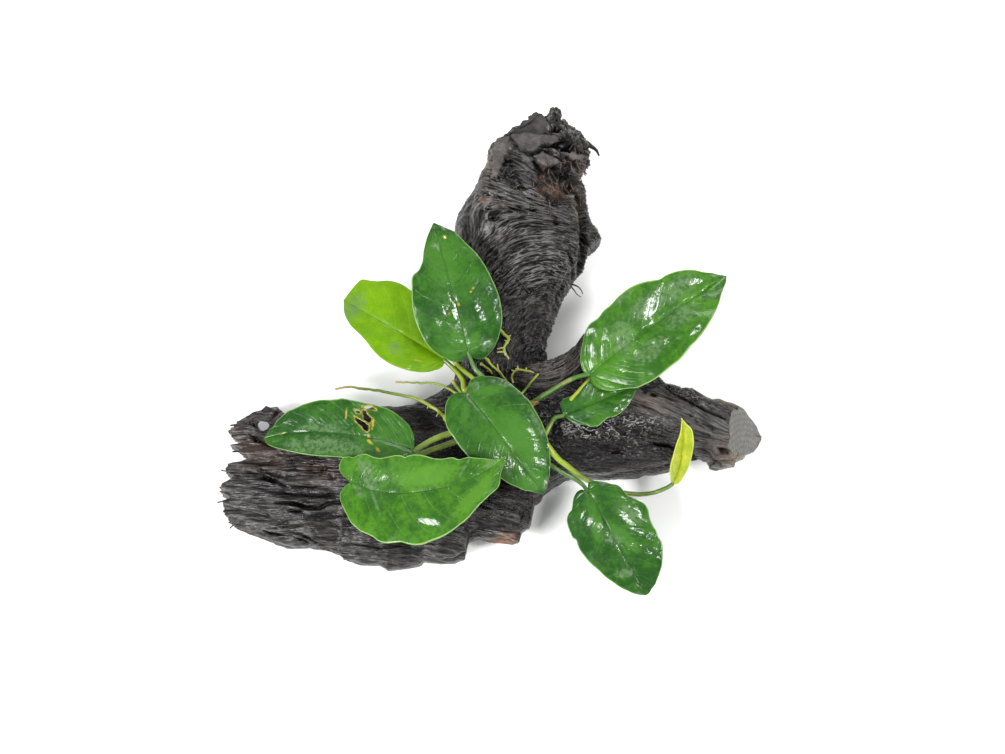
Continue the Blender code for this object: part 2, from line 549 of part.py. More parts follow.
def tear(leaf, corners):
    """The tool for one torn opening: a prism through the blade."""
    n = len(corners)
    along, across = np.array(corners, float).T
    flat = blade_place(leaf, along, across, np.full(n, 0.5), np.zeros(n))
    points = [(x, y, z + lift) for lift in (-6, 6) for x, y, z in flat]
    faces = [tuple(range(n)), tuple(range(n, 2 * n))[::-1]]
    faces += [(k, n + k, n + (k + 1) % n, (k + 1) % n) for k in range(n)]
    return build_mesh("cutter", points, faces, leaf.finish)


def route(points, spacing):
    """Points evenly spaced along a smooth curve through the given ones."""
    points = np.array(points, float)
    steps = np.concatenate([[0], np.cumsum(np.linalg.norm(np.diff(points, axis=0), axis=1))])
    count = max(3, round(steps[-1] / spacing) + 1)
    return smooth(steps, points, np.linspace(0, steps[-1], count))


def tube(name, points, first, last, sides, finish, swell=()):
    """A closed tube along the points, from the first to the last radius, with rounded ends."""
    points = np.array(points, float)
    tangents = np.gradient(points, axis=0)
    tangents /= np.linalg.norm(tangents, axis=1)[:, None]
    side = np.cross(tangents[0], (0, 0, 1.0))
    side /= np.linalg.norm(side)
    rings = []
    for k, (centre, tangent) in enumerate(zip(points, tangents)):
        side = side - tangent * np.dot(side, tangent)
        side /= np.linalg.norm(side)
        up = np.cross(tangent, side)
        share = k / (len(points) - 1)
        radius = first + (last - first) * share
        radius *= swell[k % len(swell)] if swell else 1.0
        radius *= 0.6 if k in (0, len(points) - 1) else 1.0
        rings += [centre + radius * (side * math.cos(a) + up * math.sin(a))
                  for a in np.linspace(0, 2 * math.pi, sides, endpoint=False)]
    faces = wall(len(points), sides) + [tuple(range(sides)), tuple(range(len(rings) - sides, len(rings)))]
    build_mesh(name, rings, faces, finish)


class Ground:
    """The wood's upper surface, which roots and the rhizome are laid on."""

    def __init__(self, pieces):
        """Read the finished pieces of wood."""
        self.trees = []
        for piece in pieces:
            mesh = piece.data
            places, corners = [v.co for v in mesh.vertices], [f.vertices for f in mesh.polygons]
            self.trees.append(BVHTree.FromPolygons(places, corners))

    def height(self, x, y, around=0.0):
        """The highest wood, in millimetres, at a place or within a distance round it."""
        spots = [(0, 0)] + [(around * math.cos(a), around * math.sin(a)) for a in np.linspace(0, 5.5, 8)]
        best = 0.0
        for dx, dy in spots:
            start = Vector(((x + dx - ORIGIN[0]) * MM, (y + dy - ORIGIN[1]) * MM, 0.2))
            for tree in self.trees:
                hit = tree.ray_cast(start, Vector((0, 0, -1)))[0]
                best = max(best, hit.z / MM if hit else 0.0)
        return best

    def lay(self, points, radius):
        """Heights for a route: the given ones, or on the wood, and never in it."""
        placed = []
        for x, y, z in points:
            on_wood = self.height(x, y, radius + 1.3) + radius + GAP
            placed.append((x, y, on_wood if z is None else max(z, on_wood)))
        return placed


def make_rhizome(ground):
    """The creeping stem on the fork, with a swelling for each old leaf."""
    flat = route([(x, y, 0) for x, y in RHIZOME], ROOT_SPACING)
    points = np.array(ground.lay([(x, y, None) for x, y, _ in flat], RHIZOME_RADIUS))
    reach = 2                  # a place is as high as the highest of this many on each side of it
    padded = np.pad(points[:, 2], reach, mode="edge")
    points[:, 2] = np.lib.stride_tricks.sliding_window_view(padded, 2 * reach + 1).max(axis=1)
    first, last = RHIZOME_RADIUS, RHIZOME_RADIUS * 0.94
    tube("rhizome", points, first, last, RHIZOME_SIDES, RHIZOME_GREEN, RHIZOME_SWELL)
    return points


def make_stem(name, start, points, first, last, axis, ground):
    """A leaf stem from the rhizome's side to the blade's base."""
    place = start * (len(axis) - 1)
    i = min(int(place), len(axis) - 2)
    centre = axis[i] + (axis[i + 1] - axis[i]) * (place - i)
    along = (axis[i + 1] - axis[i]) / np.linalg.norm(axis[i + 1] - axis[i])
    away = np.array(points[0], float) - centre
    away -= along * np.dot(away, along)
    away /= np.linalg.norm(away)
    foot = centre + away * (RHIZOME_RADIUS + GAP + 0.2)
    path = route([foot, centre + away * (RHIZOME_RADIUS + GAP + 1.6), *points], STEM_SPACING)
    tube(name, [path[0], *ground.lay(path[1:], first)], first, last, STEM_SIDES, STEM_GREEN)


def main():
    """Build every piece."""
    clear_scene()
    limbs = [make_slab(), make_log(), make_trunk()]
    wood = [*limbs, make_spur(limbs[1:])]
    ground = Ground(wood)
    axis = make_rhizome(ground)
    for leaf in LEAVES:
        make_leaf(leaf)
    for name, start, points, first, last in STEMS:
        make_stem(name, start, points, first, last, axis, ground)
    for name, points, first, last in ROOTS:
        laid = ground.lay(route([(x, y, z or FOOT_LEVEL) for x, y, z in points], ROOT_SPACING), first)
        tube(name, laid, first, last, ROOT_SIDES, ROOT_GREEN)


main()
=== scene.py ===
"""The looks of an anubias grown on a forked piece of driftwood.

Lengths are in millimetres, in the drawing's own X and Y, until a mesh is made: Sculptor turns them into the
frame's metres. The wood's limbs are fine grids of rings with carved relief, the leaves are fine sheets fanned
from the midrib, and Geometry Nodes set the splinters and shreds of the wood's torn ends.
"""
import itertools
import logging
import math
from collections.abc import Iterator
from contextlib import contextmanager
from dataclasses import dataclass
from enum import Enum

import bmesh
import bpy
import numpy as np
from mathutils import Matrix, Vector
from mathutils.bvhtree import BVHTree


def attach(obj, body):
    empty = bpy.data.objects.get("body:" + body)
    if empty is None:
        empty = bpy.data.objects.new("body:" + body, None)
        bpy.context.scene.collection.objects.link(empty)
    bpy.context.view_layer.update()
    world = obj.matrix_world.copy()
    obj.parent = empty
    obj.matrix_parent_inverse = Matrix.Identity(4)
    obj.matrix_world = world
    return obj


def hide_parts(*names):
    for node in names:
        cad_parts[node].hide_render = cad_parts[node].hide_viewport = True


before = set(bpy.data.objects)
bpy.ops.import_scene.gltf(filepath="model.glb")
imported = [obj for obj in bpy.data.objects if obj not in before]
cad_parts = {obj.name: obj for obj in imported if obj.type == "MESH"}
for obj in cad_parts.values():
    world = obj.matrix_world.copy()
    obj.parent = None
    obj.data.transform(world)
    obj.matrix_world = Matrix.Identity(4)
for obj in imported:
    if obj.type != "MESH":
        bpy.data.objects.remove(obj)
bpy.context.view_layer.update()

LOG = logging.getLogger("anubias")
MM = 0.001
ORIGIN = (1.0, 0.75)           # the middle of the whole piece, in the drawing's own X and Y
GAP = 0.3
FORK = (5.0, -10.0)            # where the three limbs of the wood meet
TAU = 2 * math.pi

Points = np.ndarray
Colour = tuple[float, float, float]


def smooth(knots: Points, values: Points, at: Points) -> Points:
    """Read a smooth curve through knots.

    Args:
        knots: Rising places of the known values.
        values: One row of values for each knot.
        at: Places to read.

    Returns:
        One row of values for each place.
    """
    knots = np.asarray(knots, float)
    values = np.asarray(values, float).reshape(len(knots), -1)
    at = np.clip(np.asarray(at, float), knots[0], knots[-1])
    slope = np.gradient(values, knots, axis=0)
    i = np.clip(np.searchsorted(knots, at, side="right") - 1, 0, len(knots) - 2)
    span = (knots[i + 1] - knots[i])[:, None]
    t = (at - knots[i])[:, None] / span
    return ((2 * t**3 - 3 * t**2 + 1) * values[i] + (t**3 - 2 * t**2 + t) * span * slope[i]
            + (3 * t**2 - 2 * t**3) * values[i + 1] + (t**3 - t**2) * span * slope[i + 1])


def power(value: Points, exponent: float) -> Points:
    """Raise a value to a power and keep its sign."""
    return np.sign(value) * np.abs(value) ** exponent


def ease(value: Points) -> Points:
    """Rise smoothly from 0 to 1 as the value does."""
    t = np.clip(value, 0.0, 1.0)
    return t * t * (3 - 2 * t)


def blob(places: Points, centre: tuple, size: tuple, turn: float = 0.0) -> Points:
    """Give a soft spot's strength at places in X and Y.

    Args:
        places: Points whose X and Y are read.
        centre: The spot's middle.
        size: Its half length and half width.
        turn: Its heading in degrees.

    Returns:
        1 in the middle, falling to 0 well outside.
    """
    c, s = math.cos(math.radians(turn)), math.sin(math.radians(turn))
    x, y = places[..., 0] - centre[0], places[..., 1] - centre[1]
    return np.exp(-((x * c + y * s) / size[0]) ** 2 - ((y * c - x * s) / size[1]) ** 2)


def lengths(points: Points) -> Points:
    """Distance along a route to each of its points, from 0 at its start."""
    return np.concatenate([[0], np.cumsum(np.linalg.norm(np.diff(points, axis=0), axis=1))])


def directions(line: Points) -> Points:
    """Directions of a line at each of its points, one long."""
    ahead = np.gradient(line, axis=0)
    return ahead / np.linalg.norm(ahead, axis=1)[:, None]


def dimmed(colour: Colour, share: float) -> Colour:
    """Give a colour with a share of its light."""
    return tuple(share * part for part in colour)


@contextmanager
def edited(mesh: bpy.types.Mesh) -> Iterator[bmesh.types.BMesh]:
    """Open a mesh for editing, and write it back afterwards."""
    shell = bmesh.new()
    shell.from_mesh(mesh)
    yield shell
    shell.to_mesh(mesh)
    shell.free()


def outside(flat: Points, corners: Points) -> Points:
    """Distance outside a closed outline of straight legs, less than 0 inside it.

    Args:
        flat: Places, as rows of two numbers.
        corners: The outline's corners in order.

    Returns:
        One distance for each place.
    """
    best, inside = np.full(len(flat), 1e9), np.zeros(len(flat), bool)
    for a, b in zip(corners, np.roll(corners, -1, axis=0)):
        leg = b - a
        share = np.clip((flat - a) @ leg / (leg @ leg), 0, 1)
        best = np.minimum(best, np.linalg.norm(flat - a - share[:, None] * leg, axis=1))
        spans = (a[1] > flat[:, 1]) != (b[1] > flat[:, 1])
        with np.errstate(divide="ignore", invalid="ignore"):
            crossing = (b[0] - a[0]) * (flat[:, 1] - a[1]) / (b[1] - a[1]) + a[0]
        inside ^= spans & (flat[:, 0] < crossing)
    return np.where(inside, -best, best)


class Noise:
    """Smooth random relief over space, the same on every run."""

    def __init__(self, seed: int) -> None:
        """Draw the slopes at the lattice's corners."""
        rng = np.random.default_rng(seed)
        self.order = np.tile(rng.permutation(256), 3)
        slopes = rng.normal(size=(256, 3))
        self.slopes = slopes / np.linalg.norm(slopes, axis=1)[:, None]

    def at(self, places: Points) -> Points:
        """Read the noise, about -1 to 1, at points whose lattice spacing is 1."""
        shape = places.shape[:-1]
        flat = places.reshape(-1, 3)
        cell = np.floor(flat).astype(np.int64)
        offset = flat - cell
        cell &= 255
        fade = offset**3 * (offset * (offset * 6 - 15) + 10)
        total = np.zeros(len(flat))
        for corner in itertools.product((0, 1), repeat=3):
            x, y, z = (cell + corner).T
            slope = self.slopes[self.order[self.order[self.order[x] + y] + z]]
            weight = np.prod(np.where(corner, fade, 1 - fade), axis=1)
            total += weight * np.einsum("ij,ij->i", slope, offset - corner)
        return (total * 1.7).reshape(shape)

    def cloud(self, places: Points, octaves: int = 4, gain: float = 0.5) -> Points:
        """Sum octaves of the noise into a rough field, about -1 to 1."""
        total, strength = 0.0, 1.0
        for k in range(octaves):
            total = total + strength * self.at(places * 2.03**k + 17.3 * k)
            strength *= gain
        return total

    def ridges(self, places: Points, octaves: int = 4, gain: float = 0.55) -> Points:
        """Sum octaves of sharp ridges with rounded grooves, about 0 to 1."""
        total, strength, whole = 0.0, 1.0, 0.0
        for k in range(octaves):
            total = total + strength * (1 - np.abs(self.at(places * 2.1**k + 9.1 * k))) ** 2
            whole += strength
            strength *= gain
        return total / whole


class Sculptor:
    """Turns grids and lists of points in millimetres into objects in the frame."""

    @staticmethod
    def metres(points: Points) -> Points:
        """Move points from the drawing into the frame."""
        flat = np.asarray(points, float).reshape(-1, 3)
        return (flat - np.array((*ORIGIN, 0.0))) * MM

    @staticmethod
    def quads(rings: int, count: int, closed: bool = True) -> Points:
        """List the quads between rings of points.

        Args:
            rings: Number of rings.
            count: Points in each ring.
            closed: Whether a ring's last point joins its first.

        Returns:
            Four point numbers for each quad.
        """
        r, k = np.meshgrid(np.arange(rings - 1), np.arange(count if closed else count - 1), indexing="ij")
        here, beside = r * count + k, r * count + (k + 1) % count
        return np.stack([here, beside, beside + count, here + count], axis=-1).reshape(-1, 4)

    @classmethod
    def build(cls, name: str, points: Points, faces: Points, material: bpy.types.Material,
              values: dict[str, Points] | None = None, uv: Points | None = None,
              weld: float = 2e-6) -> bpy.types.Object:
        """Make an object, with point attributes, welded seams and outward faces.

        Args:
            name: The object's name.
            points: Its points in millimetres.
            faces: Point numbers of its faces.
            material: Its material.
            values: Point attributes, as one number or one vector for each point.
            uv: A map coordinate for each point.
            weld: Points closer than this, in metres, become one.

        Returns:
            The new object.
        """
        mesh = bpy.data.meshes.new(name)
        mesh.from_pydata(cls.metres(points).tolist(), [], [list(f) for f in faces])
        for key, value in (values or {}).items():
            flat = np.asarray(value, np.float32)
            vector = flat.ndim > 1 and flat.shape[-1] == 3
            layer = mesh.attributes.new(key, "FLOAT_VECTOR" if vector else "FLOAT", "POINT")
            layer.data.foreach_set("vector" if vector else "value", flat.reshape(-1))
        if uv is not None:
            corner = np.empty(len(mesh.loops), np.int32)
            mesh.loops.foreach_get("vertex_index", corner)
            mesh.uv_layers.new(name="UVMap").data.foreach_set("uv", uv.reshape(-1, 2)[corner].reshape(-1))
        with edited(mesh) as shell:
            bmesh.ops.remove_doubles(shell, verts=shell.verts, dist=weld)
            bmesh.ops.dissolve_degenerate(shell, edges=shell.edges, dist=weld / 2)
            bmesh.ops.recalc_face_normals(shell, faces=shell.faces)
            if shell.calc_volume(signed=True) < 0:
                bmesh.ops.reverse_faces(shell, faces=shell.faces)
        made = bpy.data.objects.new(name, mesh)
        bpy.context.scene.collection.objects.link(made)
        mesh.materials.append(material)
        mesh.shade_smooth()
        return made

    @staticmethod
    def settle(made: bpy.types.Object) -> bpy.types.Object:
        """Apply the object's modifiers, and leave a plain mesh."""
        bpy.context.view_layer.update()
        mesh = bpy.data.meshes.new_from_object(made.evaluated_get(bpy.context.evaluated_depsgraph_get()))
        made.modifiers.clear()
        made.data = mesh
        return made

    @staticmethod
    def hand_in(made: bpy.types.Object, slot: str, *nodes: str) -> bpy.types.Object:
        """Attach the piece to the root body, and hide the parts of model.glb that it stands for."""
        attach(made, "root")
        if nodes:
            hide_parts(*nodes)
        LOG.info("%s: %d faces, for %s", made.name, len(made.data.polygons), ", ".join(nodes) or "detail")
        return made


class Graph:
    """A node tree, with a short call for each kind of node."""

    def __init__(self, tree: bpy.types.NodeTree) -> None:
        """Hold the tree that the nodes go to."""
        self.tree = tree

    def feed(self, socket: bpy.types.NodeSocket, value: object) -> None:
        """Link a socket, or set its value."""
        value = value.socket if isinstance(value, Number) else value
        if isinstance(value, bpy.types.NodeSocket):
            self.tree.links.new(value, socket)
        elif isinstance(value, tuple) and socket.type == "RGBA" and len(value) == 3:
            socket.default_value = (*value, 1.0)
        else:
            socket.default_value = value

    def node(self, kind: str, **settings: object) -> bpy.types.Node:
        """Add a node and set its properties."""
        made = self.tree.nodes.new(kind)
        for key, value in settings.items():
            setattr(made, key, value)
        return made

    def wired(self, kind: str, **inputs: object) -> bpy.types.Node:
        """Add a node, and link or set its inputs, whose names have _ for each space."""
        made = self.node(kind)
        for key, value in inputs.items():
            self.feed(made.inputs[key.replace("_", " ")], value)
        return made

    def math(self, operation: str, first: object, second: object = 0.5) -> "Number":
        """Work out a number from one or two others."""
        made = self.node("ShaderNodeMath", operation=operation)
        self.feed(made.inputs[0], first)
        self.feed(made.inputs[1], second)
        return Number(self, made.outputs[0])


class Number:
    """A number that a node gives: plain arithmetic with it adds nodes to its tree."""

    def __init__(self, graph: Graph, socket: bpy.types.NodeSocket) -> None:
        """Hold the socket, and the graph that new nodes go to."""
        self.graph, self.socket = graph, socket

    def __add__(self, other: object) -> "Number":
        """Add a number."""
        return self.graph.math("ADD", self, other)

    def __sub__(self, other: object) -> "Number":
        """Take a number away."""
        return self.graph.math("SUBTRACT", self, other)

    def __rsub__(self, other: object) -> "Number":
        """Take this number away from another."""
        return self.graph.math("SUBTRACT", other, self)

    def __mul__(self, other: object) -> "Number":
        """Multiply by a number."""
        return self.graph.math("MULTIPLY", self, other)

    def __abs__(self) -> "Number":
        """Drop the sign."""
        return self.graph.math("ABSOLUTE", self)

    def held(self) -> "Number":
        """Hold the sum or product between 0 and 1."""
        self.socket.node.use_clamp = True
        return self


class Shader(Graph):
    """A material's node tree round one Principled shader."""

    def __init__(self, name: str) -> None:
        """Start the material."""
        self.material = bpy.data.materials.new(name)
        self.material.use_nodes = True
        super().__init__(self.material.node_tree)
        self.surface = self.tree.nodes["Principled BSDF"]

    def set(self, **values: object) -> None:
        """Set or link the shader's sockets, whose names have _ for each space."""
        for key, value in values.items():
            self.feed(self.surface.inputs[key.replace("_", " ")], value)

    def value(self, name: str) -> Number:
        """Read a point attribute that holds one number."""
        return Number(self, self.node("ShaderNodeAttribute", attribute_name=name).outputs["Fac"])

    def vector(self, name: str) -> bpy.types.NodeSocket:
        """Read a point attribute that holds a vector."""
        return self.node("ShaderNodeAttribute", attribute_name=name).outputs["Vector"]

    def place(self) -> bpy.types.NodeSocket:
        """Read the place on the object."""
        return self.node("ShaderNodeTexCoord").outputs["Object"]

    def stretch(self, vector: bpy.types.NodeSocket, scale: tuple) -> bpy.types.NodeSocket:
        """Scale a coordinate along its axes."""
        made = self.node("ShaderNodeMapping")
        self.feed(made.inputs["Vector"], vector)
        made.inputs["Scale"].default_value = scale
        return made.outputs["Vector"]

    def noise(self, vector: bpy.types.NodeSocket, scale: float, detail: float = 4.0, rough: float = 0.55,
              twist: float = 0.0) -> Number:
        """Read noise at a coordinate."""
        made = self.wired("ShaderNodeTexNoise", Vector=vector, Scale=scale, Detail=detail, Roughness=rough,
                          Distortion=twist)
        return Number(self, made.outputs["Fac"])

    def between(self, value: object, low: float, high: float, first: float = 0.0,
                last: float = 1.0) -> Number:
        """Map a number's range to another, smoothly and held at both ends."""
        made = self.node("ShaderNodeMapRange", interpolation_type="SMOOTHSTEP")
        for key, number in enumerate((value, low, high, first, last)):
            self.feed(made.inputs[key], number)
        return Number(self, made.outputs[0])

    def mix(self, share: object, first: object, second: object) -> bpy.types.NodeSocket:
        """Mix two colours."""
        made = self.node("ShaderNodeMix", data_type="RGBA")
        self.feed(made.inputs["Factor"], share)
        self.feed(made.inputs[6], first)
        self.feed(made.inputs[7], second)
        return made.outputs[2]

    def crest(self, value: Number) -> Number:
        """Turn a noise into sharp crests, about 0.2 to 1, that run where it passes its middle."""
        return (1.0 - abs(value - 0.5) * 4.0).held()

    def ramp(self, value: object, *stops: tuple[float, Colour]) -> bpy.types.NodeSocket:
        """Turn a number into a colour by stops."""
        made = self.node("ShaderNodeValToRGB")
        self.feed(made.inputs[0], value)
        spots = made.color_ramp.elements
        while len(spots) < len(stops):
            spots.new(0.5)
        for spot, (place, colour) in zip(spots, stops):
            spot.position = place
            spot.color = (*colour, 1.0)
        return made.outputs[0]

    def bump(self, height: object, distance: float, strength: float = 1.0,
             under: bpy.types.NodeSocket | None = None) -> bpy.types.NodeSocket:
        """Tilt the surface by a height whose full range is the distance in millimetres."""
        made = self.node("ShaderNodeBump")
        made.inputs["Strength"].default_value = strength
        made.inputs["Distance"].default_value = distance * MM
        self.feed(made.inputs["Height"], height)
        if under is not None:
            self.feed(made.inputs["Normal"], under)
        return made.outputs["Normal"]


@dataclass(frozen=True)
class WoodFinish:
    """Soaked driftwood: ridged grain from black to ash grey, with painted shade in its grooves and painted
    glints on its strands and wet patches, glossy where it is wet.
    """

    name: str = "driftwood"
    # The near black of soaked wood, and of the painted shade in the grooves at the bottom of the tone.
    hollow: Colour = (0.0018, 0.0015, 0.0018)
    dark: Colour = (0.0080, 0.0067, 0.0070)
    ridge: Colour = (0.030, 0.0258, 0.0250)
    ash: Colour = (0.130, 0.122, 0.116)
    rust: Colour = (0.20, 0.105, 0.062)
    pale: Colour = (0.42, 0.34, 0.24)
    facet: Colour = (0.132, 0.126, 0.114)
    pith: tuple = (118.0, -58.0, 20.0)     # the middle of the saw's arcs on the cut end
    arc: float = 2.2                       # millimetres from one arc to the next
    # The grey of the painted glints on the combed strands' crests and on the wet squiggles.
    glint_grey: Colour = (0.120, 0.116, 0.112)
    dry_gloss: float = 0.36
    wet_gloss: float = 0.13

    def make(self) -> bpy.types.Material:
        """Build the material.

        Returns:
            The material, which reads the point attributes grain, height, wet, ash, rust, pale, calm, comb,
            glitter and sawn.
        """
        s = Shader(self.name)
        grain, place = s.vector("grain"), s.place()
        strand = s.crest(s.noise(grain, 0.42, 2.0, 0.55, 0.15))
        hair = s.crest(s.noise(grain, 0.80, 2.0, 0.5, 0.25))
        thread = s.crest(s.noise(grain, 1.05, 2.0, 0.6))
        worm = s.crest(s.noise(s.stretch(place, (0.7, 1.0, 1.0)), 480.0, 2.0, 0.5, 0.5))
        grit, patch = s.noise(place, 1300.0, 2.0, 0.6), s.noise(place, 70.0, 4.0, 0.6)
        wet, calm = s.value("wet"), s.value("calm")
        live = 1.0 - calm
        comb = s.value("comb") * live
        lines = s.between(strand, 0.35, 0.95) * s.between(thread, 0.2, 0.9) * live
        # Tone falls where the relief is low, a painted shade in grooves and hollows, and rises on the grain's
        # crests, partly a painted sheen; the combed strands get lighter crests and darker gaps, a painted
        # glint.
        tone = (s.between(s.value("height"), 0.10, 0.95) * 0.52 + lines * 0.46 + (patch - 0.5) * 0.50
                + calm * 0.12 + comb * s.between(hair, 0.30, 0.9, -0.30, 0.12) + (grit - 0.5) * 0.30)
        colour = s.ramp(tone, (0.14, self.hollow), (0.34, self.dark), (0.62, self.ridge), (0.95, self.ash))
        dusted = self.dust(s, lines, calm, patch)
        colour = s.mix(s.value("ash") * s.between(tone, 0.10, 0.34), colour, dusted)
        warm = s.mix(s.between(thread, 0.3, 0.8), dimmed(self.rust, 0.16), self.rust)
        colour = s.mix(s.value("rust") * s.between(patch, 0.40, 0.56), colour, warm)
        colour = s.mix(s.value("pale") * s.between(thread, 0.25, 0.75), colour, self.pale)
        colour = s.mix(wet * 0.76, colour, self.hollow)
        # Painted glints: the combed strands' crests are painted in the glint grey, in clusters.
        strand_glint = s.between(hair, 0.78, 0.97) * s.between(patch, 0.38, 0.60, 0.40, 1.0)
        colour = s.mix(comb * strand_glint * 0.85, colour, self.glint_grey)
        # Painted glints: bright squiggles on the wet patches, where their water would catch the lamps.
        glint_squiggles = s.between(worm, 0.86, 0.96) * s.between(s.noise(place, 210.0, 2.0, 0.5), 0.40, 0.52)
        colour = s.mix(s.value("glitter") * glint_squiggles, colour, dimmed(self.glint_grey, 2.1))
        colour = s.mix(s.value("sawn"), colour, self.cut_end(s, patch))
        rough = (s.between(wet, 0.05, 0.75, self.dry_gloss, self.wet_gloss) + (grit - 0.5) * 0.35).held()
        rough = ((rough + calm * 0.22).held() - comb * 0.16).held()
        matt = live * s.between(wet, 0.1, 0.8, 1.0, 0.25)
        coarse = s.bump(strand * (live * s.between(comb, 0.0, 1.0, 0.6, 1.0)), 0.50)
        coarse = s.bump(hair * comb, 0.40, 1.0, coarse)
        ribbed = s.bump(thread * (matt * s.between(comb, 0.0, 1.0, 0.5, 1.0)), 0.20, 1.0, coarse)
        wormy = s.bump(worm * s.between(wet, 0.1, 0.6), 0.50, 1.0, ribbed)
        gritty = s.bump(grit * matt, 0.03, 0.7, wormy)
        s.set(Base_Color=colour, Roughness=rough, Normal=gritty, Specular_IOR_Level=0.21)
        return s.material

    def dust(self, s: Shader, lines: Number, calm: Number, patch: Number) -> bpy.types.NodeSocket:
        """Give the ash grey of dry wood, speckled on the flat flakes and browner in patches."""
        grey = s.mix(s.between(lines, 0.15, 0.75), dimmed(self.ash, 0.42), self.ash)
        fleck = s.noise(s.place(), 420.0, 3.0, 0.65)
        grey = s.mix(calm * s.between(fleck, 0.40, 0.62, 0.1, 0.9), grey, self.ash)
        return s.mix(s.between(patch, 0.35, 0.62, 0.5, 0.0), grey, self.ridge)

    def cut_end(self, s: Shader, patch: Number) -> bpy.types.NodeSocket:
        """Give the sawn end its grey, with the saw's arcs and darker patches."""
        ring = s.node("ShaderNodeVectorMath", operation="DISTANCE")
        s.feed(ring.inputs[0], s.place())
        ring.inputs[1].default_value = tuple(Sculptor.metres(self.pith)[0])
        arcs = s.math("SINE", Number(s, ring.outputs["Value"]) * (TAU / (self.arc * MM)))
        cut = s.mix(s.between(arcs, -1.0, 1.0), dimmed(self.facet, 0.74), self.facet)
        return s.mix(s.between(patch, 0.42, 0.62, 0.0, 0.35), cut, dimmed(self.facet, 0.5))


@dataclass(frozen=True)
class LeafFinish:
    """A glossy wet leaf: mottled green, pale veins and rim, and yellow scars."""

    name: str
    deep: Colour
    fresh: Colour
    vein: Colour
    rim: Colour
    scar: Colour = (0.27, 0.22, 0.03)
    # The pale grey green of the painted sheen: patches that stand in for the room's reflection.
    painted_sheen: Colour = (0.078, 0.138, 0.058)
    rib: Colour = (0.006, 0.040, 0.003)
    veins: float = 9.0             # main side veins from the stem to the tip, on each side
    vein_strength: float = 0.17
    gloss: float = 0.32
    film: float = 0.10             # roughness of the water film
    wetness: float = 0.85
    glow: float = 0.12             # share of light that spreads in the blade

    def make(self) -> bpy.types.Material:
        """Build the material.

        Returns:
            The material, which reads the blade's map and the point attributes scar, fresh, sheen and the mask
            of the painted sheen's pale patches.
        """
        s = Shader(self.name)
        place = s.place()
        split = s.node("ShaderNodeSeparateXYZ")
        s.feed(split.inputs[0], s.node("ShaderNodeUVMap", uv_map="UVMap").outputs[0])
        along, across = Number(s, split.outputs[0]), abs(Number(s, split.outputs[1]))
        row = along - s.math("POWER", across, 2.0) * 0.055 + s.noise(place, 60.0, 2.0) * 0.02
        mottle = s.noise(place, 150.0, 5.0, 0.6)
        drift = s.noise(place, 38.0, 3.0, 0.5)
        speck = s.noise(place, 1300.0, 2.0, 0.5)
        dapple = s.noise(place, 520.0, 3.0, 0.6)
        main = self.line(s, row * self.veins, 0.478, 0.5)
        minor = self.line(s, row * (self.veins * 4.0), 0.42, 0.5)
        midrib = s.between(across, 0.008, 0.024, 1.0, 0.0)
        veins = ((main + minor * 0.35) * s.between(across, 0.55, 0.95, 1.0, 0.25)).held()
        lift = mottle * 0.8 + drift * 0.9 + (dapple - 0.5) * 0.7
        colour = s.mix(s.between(lift, 0.62, 1.1), self.deep, self.fresh)
        colour = s.mix(s.value("fresh") * 0.75, colour, s.mix(0.35, self.fresh, self.vein))
        colour = s.mix(veins * self.vein_strength, colour, self.vein)
        colour = s.mix(midrib * 0.6, colour, self.rib)
        colour = s.mix(s.between(speck, 0.58, 0.72) * 0.10, colour, self.vein)
        colour = s.mix(s.between(across + drift * 0.012, 0.972, 0.990), colour, self.rim)
        # Painted sheen: pale patches where the wet blade would reflect the room.
        colour = s.mix(s.value("painted_sheen") * s.between(dapple, 0.36, 0.62, 0.15, 0.80), colour, self.painted_sheen)
        colour = s.mix(s.value("scar"), colour, self.scar)
        film = s.noise(place, 95.0, 4.0, 0.6)
        filmed = s.between(film, 0.38, 0.62, self.gloss - 0.10, self.gloss + 0.12)
        rough = (filmed + s.value("sheen") * 0.16).held()
        broad = s.bump(mottle * 0.8 - veins * 0.45, 0.30, 0.5)
        crackle = s.noise(place, 700.0, 2.0, 0.55) * s.between(film, 0.44, 0.56, 0.15, 1.0)
        s.set(Base_Color=colour, Roughness=rough, Normal=s.bump(speck, 0.05, 0.35, broad))
        s.set(Coat_Weight=self.wetness, Coat_Roughness=self.film, Coat_IOR=1.33,
              Coat_Normal=s.bump(crackle, 0.13, 1.0, broad))
        s.set(Subsurface_Weight=self.glow, Subsurface_Scale=0.0012, Specular_IOR_Level=0.10)
        s.surface.inputs["Subsurface Radius"].default_value = (0.5, 1.0, 0.15)
        return s.material

    @staticmethod
    def line(s: Shader, phase: Number, low: float, high: float) -> Number:
        """Draw a thin line once in each whole step of the phase."""
        return s.between(abs(s.math("FRACT", phase) - 0.5), low, high)


